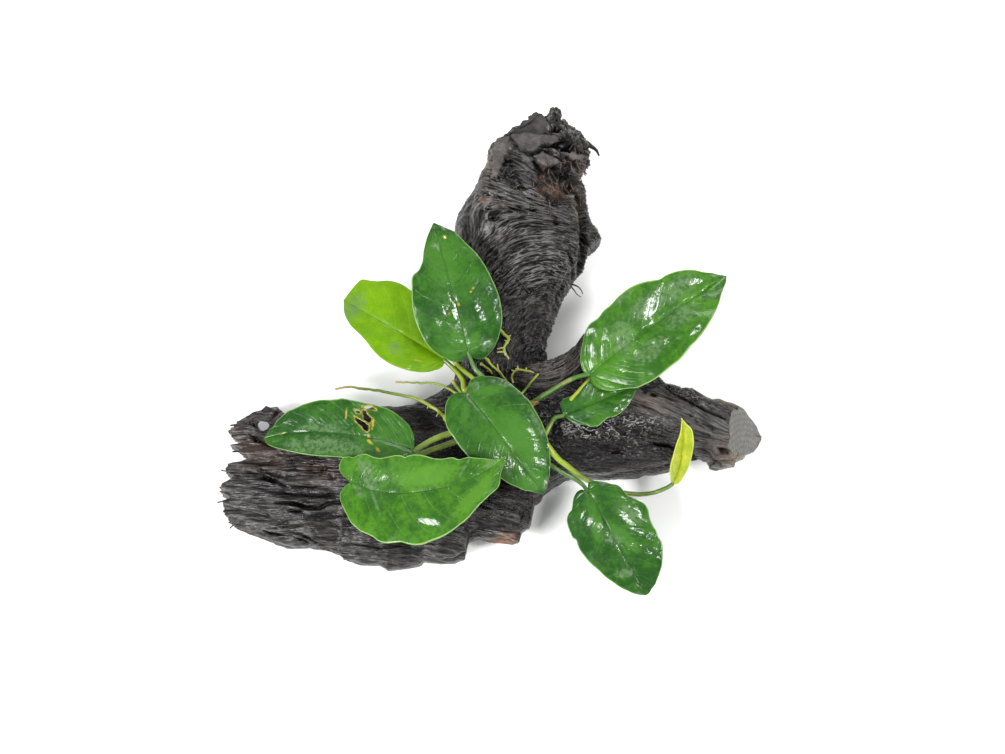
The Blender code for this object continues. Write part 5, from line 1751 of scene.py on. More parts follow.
@dataclass
class Root:
    """An aerial root: its route (no height where it lies on the wood), both radii and its side stubs."""

    node: str
    points: tuple
    first: float
    last: float
    stubs: tuple = ()              # share of its length, heading in degrees and length
    dry_tip: float = 0.25
    spacing: float = 2.6

    def build(self, ground: Ground, material: bpy.types.Material) -> bpy.types.Object:
        """Make the root with its stubs, attach it to the root body, and hide the part of model.glb that it
        stands for.
        """
        coarse = Tube.route([(x, y, z or 0.0) for x, y, z in self.points], self.spacing)
        line = Tube.route(ground.lay(coarse, self.first), 0.35)
        share = np.linspace(0, 1, len(line))
        kinks = Noise(200 + len(self.node))
        wobble = 0.22 * np.stack([kinks.at(line / 3.0), kinks.at(line / 3.0 + 9), 0 * share], axis=-1)
        line = line + wobble * ease(share * 6)[:, None] * ease((1 - share) * 6)[:, None]
        radii = (self.first + (self.last - self.first) * share) * (1 + 0.10 * kinks.at(line / 1.7))
        dry = ease((share - (1 - self.dry_tip)) / self.dry_tip)
        made = Tube.build("aerial" + self.node[4:], line, radii, 16, material, dry, 40 + len(self.node), 0.12)
        for place, heading, long in self.stubs:
            start = line[round(place * (len(line) - 1))]
            way = np.array((math.cos(math.radians(heading)), math.sin(math.radians(heading)), 0.35))
            knee = start + way * long * 0.5 + np.array((0, 0, 0.3))
            twig = Tube.route([start, knee, start + way * long], 0.3)
            thin = np.linspace(0.40, 0.26, len(twig))
            grown = Tube.build("stub", twig, thin, 10, material, np.linspace(0, 0.9, len(twig)), 7, 0.1)
            self.join(made, grown)
        return Sculptor.hand_in(made, "root_green", self.node)

    @staticmethod
    def join(made: bpy.types.Object, extra: bpy.types.Object) -> None:
        """Add another object's mesh to this one."""
        with edited(made.data) as shell:
            shell.from_mesh(extra.data)
        bpy.data.objects.remove(extra, do_unlink=True)


@dataclass(frozen=True)
class FibreFinish:
    """Thin dry wood fibre: one colour that darkens in streaks."""

    name: str
    light: Colour
    dark: Colour

    def make(self) -> bpy.types.Material:
        """Build the material."""
        s = Shader(self.name)
        streak = s.noise(s.place(), 420.0, 3.0, 0.6)
        s.set(Base_Color=s.mix(s.between(streak, 0.38, 0.62), self.dark, self.light), Roughness=0.5)
        s.set(Normal=s.bump(s.noise(s.place(), 1500.0, 2.0), 0.05, 0.6), Specular_IOR_Level=0.3)
        return s.material


@dataclass(frozen=True)
class Tuft:
    """Fibres set on a piece: how many to the square metre, their size in millimetres and where they point."""

    name: str
    density: float
    length: float
    thickness: float
    heading: tuple
    spread: float
    seed: int


class Bristles(Graph):
    """Geometry Nodes that set tapered fibres on a surface: splinters and shreds."""

    SOCKETS = (("Density", "Float"), ("Length", "Float"), ("Thickness", "Float"), ("Heading", "Vector"),
               ("Spread", "Float"), ("Seed", "Int"), ("Material", "Material"))

    def __init__(self) -> None:
        """Build the node group once, for all its uses."""
        super().__init__(bpy.data.node_groups.new("fibres", "GeometryNodeTree"))
        sides = self.tree.interface
        sides.new_socket("Geometry", in_out="INPUT", socket_type="NodeSocketGeometry")
        for name, kind in self.SOCKETS:
            sides.new_socket(name, in_out="INPUT", socket_type="NodeSocket" + kind)
        sides.new_socket("Geometry", in_out="OUTPUT", socket_type="NodeSocketGeometry")
        self.source = self.node("NodeGroupInput").outputs
        points = self.wired("GeometryNodeDistributePointsOnFaces", Mesh=self.source["Geometry"],
                            Density=self.read("shred") * self.source["Density"], Seed=self.source["Seed"])
        placed = self.wired("GeometryNodeInstanceOnPoints", Points=points.outputs["Points"],
                            Instance=self.fibre(), Rotation=self.heading(), Scale=self.chance(0.45, 1.35, 1))
        whole = self.wired("GeometryNodeRealizeInstances", Geometry=placed.outputs["Instances"])
        dressed = self.wired("GeometryNodeSetMaterial", Geometry=whole.outputs["Geometry"],
                             Material=self.source["Material"])
        self.wired("NodeGroupOutput", Geometry=dressed.outputs["Geometry"])

    def read(self, name: str) -> Number:
        """Read a named attribute that holds one number."""
        return Number(self, self.wired("GeometryNodeInputNamedAttribute", Name=name).outputs["Attribute"])

    def combine(self, *parts: object) -> bpy.types.NodeSocket:
        """Make a vector of three numbers."""
        made = self.node("ShaderNodeCombineXYZ")
        for socket, part in zip(made.inputs, parts):
            self.feed(socket, part)
        return made.outputs[0]

    def chance(self, low: float, high: float, turn: int) -> Number:
        """Draw a random number for each fibre."""
        made = self.node("FunctionNodeRandomValue", data_type="FLOAT")
        numbers = [socket for socket in made.inputs if socket.type == "VALUE"]
        numbers[0].default_value, numbers[1].default_value = low, high
        self.feed(made.inputs["Seed"], self.math("ADD", self.source["Seed"], turn))
        return Number(self, next(end for end in made.outputs if end.type == "VALUE" and end.enabled))

    def heading(self) -> bpy.types.NodeSocket:
        """Point each fibre the given way, with its own share of the spread and its own turn."""
        away = self.combine(*(self.chance(-1.0, 1.0, 2 + k) * self.source["Spread"] for k in range(3)))
        total = self.node("ShaderNodeVectorMath", operation="ADD")
        self.feed(total.inputs[0], self.source["Heading"])
        self.feed(total.inputs[1], away)
        spin = self.combine(0.0, 0.0, self.chance(0.0, TAU, 6))
        turned = self.wired("FunctionNodeEulerToRotation", Euler=spin)
        aimed = self.node("FunctionNodeAlignRotationToVector", axis="Z")
        self.feed(aimed.inputs["Rotation"], turned.outputs[0])
        self.feed(aimed.inputs["Vector"], total.outputs[0])
        return aimed.outputs[0]

    def fibre(self) -> bpy.types.NodeSocket:
        """Make one bent fibre, thin at its end."""
        long = Number(self, self.source["Length"])
        share = Number(self, self.node("GeometryNodeSplineParameter").outputs["Factor"])
        line = self.wired("GeometryNodeCurvePrimitiveLine", End=self.combine(0.0, 0.0, long))
        beads = self.wired("GeometryNodeResampleCurve", Curve=line.outputs["Curve"], Count=6)
        side = self.combine(share * share * (long * 0.3), 0.0, 0.0)
        bent = self.wired("GeometryNodeSetPosition", Geometry=beads.outputs["Curve"], Offset=side)
        tapered = self.wired("GeometryNodeSetCurveRadius", Curve=bent.outputs["Geometry"],
                             Radius=1.0 - share * 0.85)
        ring = self.wired("GeometryNodeCurvePrimitiveCircle", Resolution=5, Radius=self.source["Thickness"])
        solid = self.wired("GeometryNodeCurveToMesh", Curve=tapered.outputs["Curve"],
                           Profile_Curve=ring.outputs["Curve"], Fill_Caps=True)
        return solid.outputs["Mesh"]

    def grow(self, tuft: Tuft, base: bpy.types.Object, material: bpy.types.Material, slot: str
             ) -> bpy.types.Object:
        """Set a tuft's fibres on a piece, and attach them to the root body as a mesh of their own.

        Args:
            tuft: What to set.
            base: The piece, whose attribute shred tells where they stand.
            material: Their finish.
            slot: Their material slot, which is not used.

        Returns:
            The fibres' object.
        """
        made = bpy.data.objects.new(tuft.name, base.data.copy())
        bpy.context.scene.collection.objects.link(made)
        nodes = made.modifiers.new("Fibres", "NODES")
        values = {"Density": tuft.density, "Length": tuft.length * MM, "Thickness": tuft.thickness * MM,
                  "Heading": tuft.heading, "Spread": tuft.spread, "Seed": tuft.seed, "Material": material}
        nodes.node_group = self.tree
        for item in self.tree.interface.items_tree:
            if item.in_out == "INPUT" and item.name in values:
                nodes[item.identifier] = values[item.name]
        Sculptor.settle(made)
        return Sculptor.hand_in(made, slot)


@dataclass(frozen=True)
class Wisp:
    """A loose strand of wood: its route, with no height where it lies on the wood, and both radii."""

    name: str
    route: tuple
    first: float
    last: float

    def build(self, ground: Ground, material: bpy.types.Material) -> bpy.types.Object:
        """Make the strand."""
        flat = Tube.route([(x, y, z or 0.0) for x, y, z in self.route], 1.2)
        lift = 0.6 * self.first
        laid = np.array([(x, y, z if z > 1.0 else ground.height(x, y) + lift) for x, y, z in flat])
        share = np.linspace(0, 1, len(laid))
        radii = self.first + (self.last - self.first) * share
        made = Tube.build(self.name, laid, radii, 8, material, seed=11, rough=0.15)
        return Sculptor.hand_in(made, "wood_dark")


@dataclass(frozen=True)
class Lamp:
    """A square lamp: its place and width in metres, and its power in watts."""

    name: str
    place: tuple
    width: float
    power: float


@dataclass(frozen=True)
class Studio:
    """Floor, lights, world and camera."""

    aim: tuple = (4.0, -7.25, 0.0)     # the point on the floor that the camera looks at, in the frame
    distance: float = 879.4
    elevation: float = 75.0
    lens: float = 70.0
    sensor: float = 36.0
    seen: tuple = (0.01, 50.0)         # nearest and furthest that the camera sees, in metres
    floor: float = 3.0                 # half width of the floor, in metres
    paper: Colour = (0.86, 0.86, 0.855)
    ceiling: tuple = (0.35, 0.85)      # sines of the heights between which the walls' light fades
    walls: float = 0.5
    overhead: float = 0.75
    hung: tuple = (
        Lamp("lamp_over", (0.52, -0.16, 0.98), 0.18, 6.2), Lamp("lamp_key", (-0.95, -0.75, 1.15), 0.6, 42.0),
        Lamp("lamp_back", (0.35, 1.15, 0.95), 0.6, 9.0), Lamp("lamp_right", (1.25, -0.45, 0.75), 0.2, 5.0),
    )

    def build(self) -> None:
        """Make all of it."""
        self.camera()
        self.ground()
        self.lamps()

    def camera(self) -> None:
        """Look down at the plant from the front, as the photograph does."""
        data = bpy.data.cameras.new("Camera")
        data.lens, data.sensor_width = self.lens, self.sensor
        data.clip_start, data.clip_end = self.seen
        made = bpy.data.objects.new("Camera", data)
        bpy.context.scene.collection.objects.link(made)
        angle = math.radians(self.elevation)
        aim = Vector(self.aim) * MM
        made.location = aim + Vector((0, -math.cos(angle), math.sin(angle))) * self.distance * MM
        made.rotation_euler = (math.pi / 2 - angle, 0.0, 0.0)
        bpy.context.scene.camera = made

    def ground(self) -> None:
        """Lay the plain pale floor."""
        s = Shader("paper_floor")
        grain = s.noise(s.place(), 90.0, 3.0)
        s.set(Base_Color=s.mix(grain, dimmed(self.paper, 0.99), self.paper), Roughness=0.9,
              Specular_IOR_Level=0.0)
        half = self.floor
        mesh = bpy.data.meshes.new("floor")
        mesh.from_pydata([(-half, -half, -0.0002), (half, -half, -0.0002), (half, half, -0.0002),
                          (-half, half, -0.0002)], [], [(0, 1, 2, 3)])
        mesh.materials.append(s.material)
        made = bpy.data.objects.new("floor", mesh)
        bpy.context.scene.collection.objects.link(made)

    def lamps(self) -> None:
        """Hang a large key lamp at the front left, a fill behind and two small lamps for the glints."""
        for lamp in self.hung:
            data = bpy.data.lights.new(lamp.name, "AREA")
            data.shape, data.size, data.energy = "SQUARE", lamp.width, lamp.power
            made = bpy.data.objects.new(lamp.name, data)
            bpy.context.scene.collection.objects.link(made)
            made.location = lamp.place
            away = Vector(self.aim) * MM - Vector(lamp.place)
            made.rotation_euler = away.to_track_quat("-Z", "Y").to_euler()
        self.room()
        bpy.context.scene.view_settings.view_transform = "Standard"

    def room(self) -> None:
        """Light the room from its walls, with a dimmer ceiling overhead."""
        world = bpy.data.worlds.new("room")
        world.use_nodes = True
        tree = world.node_tree
        place = tree.nodes.new("ShaderNodeTexCoord")
        split = tree.nodes.new("ShaderNodeSeparateXYZ")
        fade = tree.nodes.new("ShaderNodeMapRange")
        fade.interpolation_type = "SMOOTHSTEP"
        for key, number in (("From Min", self.ceiling[0]), ("From Max", self.ceiling[1]),
                            ("To Min", self.walls), ("To Max", self.overhead)):
            fade.inputs[key].default_value = number
        tree.links.new(place.outputs["Generated"], split.inputs[0])
        tree.links.new(split.outputs["Z"], fade.inputs["Value"])
        tree.links.new(fade.outputs[0], tree.nodes["Background"].inputs["Strength"])
        tree.nodes["Background"].inputs["Color"].default_value = (1.0, 1.0, 1.0, 1.0)
        bpy.context.scene.world = world


BURLS = (
    Burl("knob_top", (27.8, 101.4, 37.0), (3.5, 7.0, 5.4), -6.0),
)

BLADES = (
    Blade("leaf_top", (-10.0, -5.6, 41), (-24.8, 49.0, 50), Tone.DARK, "leaf_dark",
          left=((-2.7, 2.1), (-3.2, 6.5), (0.0, 11.1), (4.7, 15.2), (12.8, 17.9), (20.9, 18.5),
                (31.1, 16.5), (36.8, 14.3), (37.8, 12.2), (40.9, 9.5), (46.4, 7.2), (51.4, 4.5)),
          right=((-1.2, 0.1), (-3.2, 1.6), (-4.8, 5.0), (-2.2, 10.5), (3.4, 15.1), (9.0, 17.6),
                (17.2, 18.7), (27.1, 17.6), (39.6, 13.9), (45.7, 10.4), (50.7, 7.7), (54.5, 3.4)),
          arch=5.0, curl=0.10, seed=1, groove=0.12, pinholes=((49.6, -3.0, 0.45), (19.6, -1.1, 0.32)),
          painted_sheens=((37.0, 13.6, 1.5, 1.0, 60), (0.0, -8.5, 3, 3, 0)),
          scars=((24.0, -8.2, 2.2, 0.22, -50), (16.6, 3.9, 1.4, 0.2, -50)),
          brights=((4, 2.5, 6, 4, 30), (3, -4, 5, 2.4, -30), (-1.5, 8, 5, 4, 0), (40, 1, 14, 8, 0)),
          leans=((13.6, -9.4, 9, 3.5, 0, -0.04, 0.30), (1.5, -7.7, 4, 4, 0, -0.15, 0.30),
                 (18.8, 5.6, 3, 2, 0, 0.03, 0.10), (14.5, 10.0, 3, 2, 0, -0.02, 0.11))),
    Blade("leaf_yellow_green", (-20.6, -7.0, 32), (-64.7, 20.6, 29), Tone.LIGHT, "leaf_light",
          left=((-0.6, 0.7), (-1.5, 3.0), (0.8, 7.0), (7.4, 12.0), (15.0, 14.5), (23.9, 14.3),
                (35.3, 10.6), (43.2, 8.4), (48.2, 5.1)),
          right=((2.7, 2.8), (6.8, 6.5), (13.6, 11.7), (20.6, 15.9), (27.6, 17.7), (34.8, 18.0),
                (39.2, 16.9), (42.8, 14.4), (45.9, 13.1), (50.0, 11.4), (51.1, 8.4), (51.9, 3.9)),
          arch=3.0, fold=8.0, curl=0.02, wave=0.5, seed=2, puff=0.14, scars=((8.4, 7.1, 2.2, 0.4, 20),),
          painted_sheens=((46.0, 1.0, 5, 7, 0), (20, 8, 3, 3, 0)), leans=((45.0, 0.5, 6, 7, 0, -0.01, 0.09),)),
    Blade("leaf_right_large", (42.3, -17.0, 44), (100.7, 24.2, 52), Tone.MID, "leaf_mid",
          left=((-1.5, 1.9), (-1.0, 4.5), (0.4, 7.2), (3.1, 10.4), (6.4, 13.1), (9.3, 15.5),
                (12.3, 16.7), (16.6, 16.6), (20.6, 17.6), (24.0, 17.8), (27.4, 18.4), (30.4, 18.8),
                (33.4, 19.0), (36.7, 18.7), (39.7, 18.0), (42.9, 16.7), (45.4, 15.4), (47.8, 14.4),
                (50.5, 14.4), (53.6, 13.9), (56.9, 12.8), (59.9, 11.2), (62.5, 9.2), (64.8, 6.8),
                (67.4, 4.7), (69.3, 2.5)),
          right=((-0.7, 1.3), (-1.3, 3.3), (-0.9, 6.0), (0.5, 9.0), (2.8, 11.5), (6.0, 13.6),
                (8.9, 15.2), (12.0, 17.3), (14.9, 18.2), (17.9, 18.9), (21.0, 19.3), (24.5, 19.3),
                (28.5, 19.1), (33.5, 19.0), (37.6, 18.1), (40.4, 17.1), (44.0, 16.5), (47.0, 15.6),
                (50.5, 14.5), (54.3, 12.9), (58.1, 10.9), (61.6, 8.7), (65.3, 5.6), (68.5, 3.4),
                (70.6, 1.7)),
          arch=6.0, curl=0.02, wave=0.3, seed=3, puff=0.27, groove=0.38,
          painted_sheens=((20, 3, 8, 5, 60), (52, 7, 9, 5, 0), (25, -8, 8, 4, 0), (46, -4, 8, 4, 0),
                 (31, 17, 5, 1.5, 0), (37, 8, 9, 5, 0)),
          leans=((36.0, 7.0, 12, 7, 0, -0.14, 0.21), (33.4, -8.6, 5, 2, -35, -0.16, 0.40),
                 (45.8, -12.4, 4, 2.5, 0, -0.03, 0.40), (19.8, -5.7, 5, 4, 0, -0.30, 0.41),
                 (26.2, -11.3, 4, 3, 0, -0.23, 0.40), (60.5, 5.3, 6, 4, 0, 0.12, 0.21))),
    Blade("leaf_right_small", (31.5, -33.5, 37), (66.0, -20.0, 38), Tone.DARK, "leaf_dark",
          left=((-0.2, 1.4), (0.1, 3.5), (1.0, 5.5), (2.3, 6.5), (4.2, 6.6), (5.9, 6.4), (10.7, 8.3),
                (15.4, 10.4), (19.6, 11.4), (25.5, 11.1), (31.3, 8.3), (35.0, 4.7)),
          right=((0.4, 1.1), (1.4, 2.8), (2.1, 4.4), (3.4, 5.9), (5.7, 6.9), (7.2, 7.9), (8.3, 9.0),
                (10.3, 9.7), (12.1, 10.0), (13.5, 9.3), (15.2, 8.8), (17.3, 8.4), (19.0, 8.9),
                (21.0, 8.7), (23.7, 7.8), (26.6, 6.3), (28.9, 4.6), (31.0, 2.7), (32.8, 0.9)),
          arch=2.0, fold=10.0, curl=0.10, seed=4,
          painted_sheens=((12.9, 6.0, 4, 1.3, 28), (12.8, 3.9, 4.6, 0.35, 12)),
          leans=((25.4, -4.6, 5, 2.5, 50, -0.07, 0.44), (5.7, -3.0, 4.5, 1.8, -32, -0.30, 0.44))),
    Blade("leaf_centre", (-10.0, -26.1, 44), (22.2, -67.1, 36), Tone.DARK, "leaf_dark",
          left=((-1.4, 1.0), (-2.5, 2.4), (-3.5, 4.0), (-4.0, 6.3), (-3.3, 8.5), (-3.0, 9.8),
                (-1.4, 11.3), (0.3, 13.2), (2.2, 14.9), (4.5, 16.3), (6.7, 17.2), (9.5, 17.6),
                (12.2, 18.2), (15.2, 18.5), (18.2, 18.9), (21.3, 18.6), (24.7, 18.1), (28.1, 17.6),
                (31.7, 16.7), (34.6, 15.8), (37.8, 14.4), (40.7, 12.6), (43.5, 10.7), (46.1, 8.6),
                (48.6, 6.3), (50.5, 4.1), (52.2, 2.0)),
          right=((-0.5, 0.5), (-1.9, 1.3), (-3.0, 2.6), (-3.6, 4.3), (-3.6, 6.4), (-2.8, 8.7),
                (-1.1, 10.8), (0.9, 12.5), (3.4, 14.4), (5.8, 15.5), (8.6, 16.1), (11.4, 16.1),
                (14.4, 16.4), (17.3, 16.5), (20.5, 16.3), (24.4, 15.6), (28.7, 14.6), (32.8, 13.0),
                (36.7, 10.9), (38.5, 10.3), (41.2, 9.2), (44.0, 7.5), (46.8, 5.9), (48.7, 4.0),
                (50.7, 2.3)),
          arch=4.0, curl=0.12, seed=5,
          brights=((4, 8, 7, 2.2, 60), (6, -6, 5, 2, -50), (28, 4, 14, 10, 0), (46, 0, 5, 6, 0)),
          painted_sheens=((27, 15.5, 7, 1.5, -12), (50, 3.5, 3, 1.5, -60), (-1, 4.9, 2.5, 2, 0), (41, 1.2, 4, 0.5, 0)),
          leans=((29.0, 13.6, 9, 3, 0, -0.08, -0.05), (43.0, 9.2, 4, 2.5, 0, 0.05, -0.04),
                 (36.0, -4.0, 8, 3.2, 0, 0.0, 0.14), (0.0, 4.9, 3, 2, 0, -0.48, -0.19))),
    Blade("leaf_front", (-58.8, -62.7, 38), (6.0, -54.4, 50), Tone.MID, "leaf_mid",
          left=((-1.0, 0.7), (-3.1, 2.9), (-4.6, 5.1), (-4.9, 7.6), (-3.6, 10.1), (-2.9, 11.0),
                (-0.5, 10.9), (1.8, 11.5), (3.9, 13.1), (6.0, 14.6), (8.9, 15.4), (11.0, 14.9),
                (13.8, 14.8), (16.0, 15.2), (18.8, 15.9), (22.2, 16.4), (24.0, 16.1), (25.3, 15.4),
                (27.0, 15.9), (29.8, 16.0), (32.4, 15.4), (34.9, 14.3), (36.9, 13.2), (40.0, 12.2),
                (45.3, 11.4), (48.3, 9.6), (50.4, 9.5), (55.5, 7.0), (58.9, 4.7), (61.9, 2.2),
                (64.5, 0.7)),
          right=((-0.8, 0.3), (-3.0, 0.9), (-5.0, 2.4), (-6.0, 4.6), (-5.8, 7.5), (-4.7, 11.0),
                (-3.2, 14.6), (-1.5, 18.3), (1.1, 20.4), (4.4, 20.5), (7.1, 20.8), (9.6, 21.9),
                (12.4, 22.1), (16.2, 21.4), (20.0, 21.0), (22.6, 21.9), (25.3, 22.4), (29.0, 22.3),
                (31.8, 21.5), (36.2, 20.6), (40.6, 19.2), (44.4, 17.4), (48.4, 15.8), (51.2, 14.0),
                (54.1, 12.2), (57.0, 11.1), (59.8, 10.4), (62.1, 9.9), (63.0, 8.7), (63.6, 5.9),
                (65.1, 3.3)),
          bend=-10.2, arch=5.0, curl=0.04, wave=0.3, seed=6, puff=0.18, groove=0.12,
          painted_sheens=((7.5, 7.0, 8, 3.6, -74), (9.8, -4.5, 6, 0.8, -74), (3, -3, 3, 2, -60),
                 (49.5, 5.5, 5, 0.6, 45), (60.5, 2.5, 3, 2, 0)),
          brights=((34, 6, 14, 5, 0), (52, -8, 12, 4, 30), (62, 3, 5, 4, 0)),
          leans=((33.0, -13.4, 8, 3, -10, 0.17, 0.41), (20.0, 1.0, 9, 5, 0, 0.00, -0.14))),
    Blade("leaf_torn", (-33.3, -48.6, 34), (-97.7, -41.2, 27), Tone.DARK, "leaf_dark",
          left=((0.1, 2.5), (1.8, 5.6), (5.3, 8.6), (10.7, 10.9), (17.1, 11.5), (23.7, 11.0),
                (28.7, 10.6), (33.0, 10.7), (37.9, 10.8), (42.8, 10.5), (47.9, 9.8), (53.0, 8.3),
                (57.2, 6.8), (60.4, 5.3), (62.6, 3.9), (64.3, 2.2)),
          right=((-0.2, 3.2), (-0.0, 5.1), (1.0, 7.5), (2.7, 9.7), (5.4, 11.3), (8.5, 12.6),
                (12.0, 13.7), (16.0, 14.1), (20.4, 14.4), (24.3, 14.5), (28.2, 14.8), (31.2, 15.1),
                (33.1, 15.2), (35.5, 14.6), (38.9, 14.2), (42.8, 13.9), (46.2, 13.2), (49.0, 12.4),
                (51.4, 11.5), (53.7, 10.5), (56.1, 9.8), (57.9, 8.6), (59.7, 7.3), (61.0, 6.1),
                (61.6, 4.5), (63.2, 3.5), (64.2, 2.0), (65.2, 0.6)),
          bend=-4.4, arch=3.0, curl=0.02, seed=7, columns=190, rows=56,
          tears=(((24.0, -13.0), (20.8, -13.6), (17.4, -12.5), (17.3, -11.9), (20.0, -11.9), (22.8, -12.1)),
                 ((27.0, -11.0), (25.5, -11.0), (24.0, -10.2), (24.3, -9.2), (25.8, -9.5)),
                 ((23.6, -11.0), (22.2, -11.3), (21.2, -9.7), (18.9, -8.4), (19.2, -6.9), (19.5, -5.6),
                  (22.4, -7.2), (23.1, -8.9)),
                 ((26.7, -8.1), (24.9, -7.4), (22.8, -6.3), (19.8, -4.9), (19.5, -2.7), (20.3, -1.9),
                  (23.0, -3.8), (25.4, -5.7))),
          scars=((30.2, -8.4, 0.4, 2.2, 0), (57.0, -0.5, 0.8, 0.4, 0), (18.6, 2.0, 1.6, 0.6, -30),
                 (14.6, 4.7, 1.2, 0.6, -30), (18.2, -6.0, 0.5, 2.6, 0), (19.6, -0.5, 0.5, 0.9, 0)),
          painted_sheens=((38, 6, 20, 4, 0), (24, -12.8, 2.4, 0.7, -10), (40, -2, 12, 2, 0)),
          leans=((44.0, -1.0, 16, 3, 0, 0.00, 0.20),)),
    Blade("leaf_lower", (41.7, -64.4, 27), (66.9, -106.8, 11), Tone.DARK, "leaf_dark",
          left=((-2.2, 1.4), (-3.0, 2.4), (-2.6, 4.1), (-0.9, 6.6), (0.7, 8.6), (2.7, 10.3),
                (4.3, 12.3), (5.8, 12.9), (7.7, 13.2), (10.2, 13.7), (12.4, 15.4), (14.8, 17.0),
                (16.6, 18.1), (18.9, 18.3), (21.3, 17.7), (23.8, 16.8), (26.7, 16.6), (29.3, 16.9),
                (32.0, 16.4), (35.0, 16.4), (37.5, 15.5), (40.5, 13.7), (43.2, 12.1), (45.6, 10.2),
                (47.8, 7.8), (49.6, 5.7), (50.6, 3.1), (51.6, 1.4)),
          right=((-0.8, 1.3), (-1.7, 2.2), (-2.0, 3.8), (-1.4, 5.9), (-0.0, 7.7), (2.0, 9.2),
                (3.6, 10.6), (4.4, 12.6), (5.9, 14.2), (8.6, 15.4), (11.2, 16.0), (13.4, 16.1),
                (15.0, 15.3), (17.2, 15.8), (19.5, 16.0), (22.6, 15.7), (26.5, 15.0), (30.9, 13.4),
                (35.0, 12.1), (38.9, 10.2), (42.5, 8.5), (45.9, 6.2), (49.0, 3.7)),
          arch=4.0, curl=0.10, wave=0.4, ripples=4.0, seed=8, puff=0.26,
          brights=((12, -4, 12, 3, -20), (24, 3, 10, 3, 20)),
          painted_sheens=((23, -1, 4, 2.5, 50), (38, -4, 5, 2, 70), (17, 10.5, 6, 3, 30)),
          leans=((18.0, -8.0, 13, 6, 0, -0.16, 0.04), (17.0, 7.5, 7, 2.5, 25, 0.00, -0.20),
                 (25.2, 10.9, 5, 2.5, 20, 0.09, -0.16), (37.0, 11.6, 5, 3, 0, 0.25, -0.10),
                 (45.5, -4.0, 5, 2.5, 60, 0.36, 0.0))),
    Blade("leaf_young", (78.5, -60.4, 24), (80.8, -36.8, 46), Tone.YOUNG, "leaf_young",
          left=((3.1, 2.2), (9.6, 4.3), (15.5, 4.0), (20.3, 3.2), (24.9, 1.7), (28.7, 0.7)),
          right=((1.4, 1.9), (5.0, 2.6), (11.7, 3.5), (17.9, 4.0), (24.9, 4.1), (29.0, 3.3),
                (30.5, 1.4)),
          bend=-2.2, arch=1.0, fold=32.0, seed=9, puff=0.08, columns=90, rows=22),
)

PETIOLES = (
    Petiole("stem_top", 0.05, ((-6.0, -14.0, 36.5), (-8.4, -9.6, 38.5), (-9.9, -6.2, 40.4)), 1.2, 0.9,
            green=0.5),
    Petiole("stem_yellow_green", 0.0, ((-12.5, -15.8, 32), (-17.3, -10.1, 31.5), (-20.4, -7.2, 31.6)), 1.3,
            1.0, green=-0.4),
    Petiole("stem_right_large", 0.55, ((15, -29.0, 35.5), (22, -25.3, 38), (31.7, -20.1, 41.5),
            (37.3, -17.8, 43), (42.0, -17.0, 43.7)), 1.25, 1.0, sheath=(0.10, 0.30), green=0.5),
    Petiole("stem_right_small", 0.90, ((23.2, -41.0, 35), (25.6, -37.0, 35.5), (28.0, -33.9, 36),
            (31.2, -33.4, 36.7)), 1.2, 0.9),
    Petiole("stem_centre", 0.34, ((-3.8, -24.0, 40), (-8.0, -25.0, 42.4), (-9.8, -26.0, 43.6)), 1.2, 1.0),
    Petiole("stem_front", 0.70, ((0.0, -41.0, 32.5), (-10, -42.4, 31.5), (-24.8, -46.6, 29.5),
            (-33, -49.6, 29), (-43, -53.2, 30), (-52, -58.4, 34), (-58.4, -62.3, 37.4)), 1.4, 1.1,
            green=-0.1),
    Petiole("stem_torn", 0.50, ((-3.5, -37.0, 35), (-12.4, -39.2, 34.5), (-25.2, -43.6, 34),
            (-32.9, -48.3, 33.6)), 1.6, 1.2, sheath=(0.30, 0.52), green=-0.5),
    Petiole("stem_lower", 0.96, ((21.5, -51.4, 34.5), (27.0, -55.4, 34), (32.5, -58.4, 32.5),
            (38.4, -61.4, 30), (41.4, -64.1, 27)), 1.0, 0.9, sheath=(0.16, 0.30), green=0.4),
    Petiole("stem_young", 1.0, ((28.6, -52.4, 37.0), (33.2, -55.4, 34.5), (37.4, -57.8, 29.5),
            (42.8, -59.3, 22.5), (49.5, -60.7, 18), (58.3, -62.9, 15.5), (68.3, -63.2, 15.5),
            (75.0, -61.8, 18.5), (78.3, -60.6, 23.4)), 1.35, 0.9, green=-0.3),
    Petiole("stem_stub_long", 0.16, ((-7.5, -17.4, 38.0), (-13.0, -12.0, 35.0), (-15.8, -8.8, 34.0)), 1.1,
            0.9, green=-0.4),
    Petiole("stem_stub_short", 0.30, ((-9.0, -25.4, 31.0), (-13.6, -20.6, 30.2), (-16.6, -16.4, 29.8)), 1.0,
            0.8, green=-0.4),
)

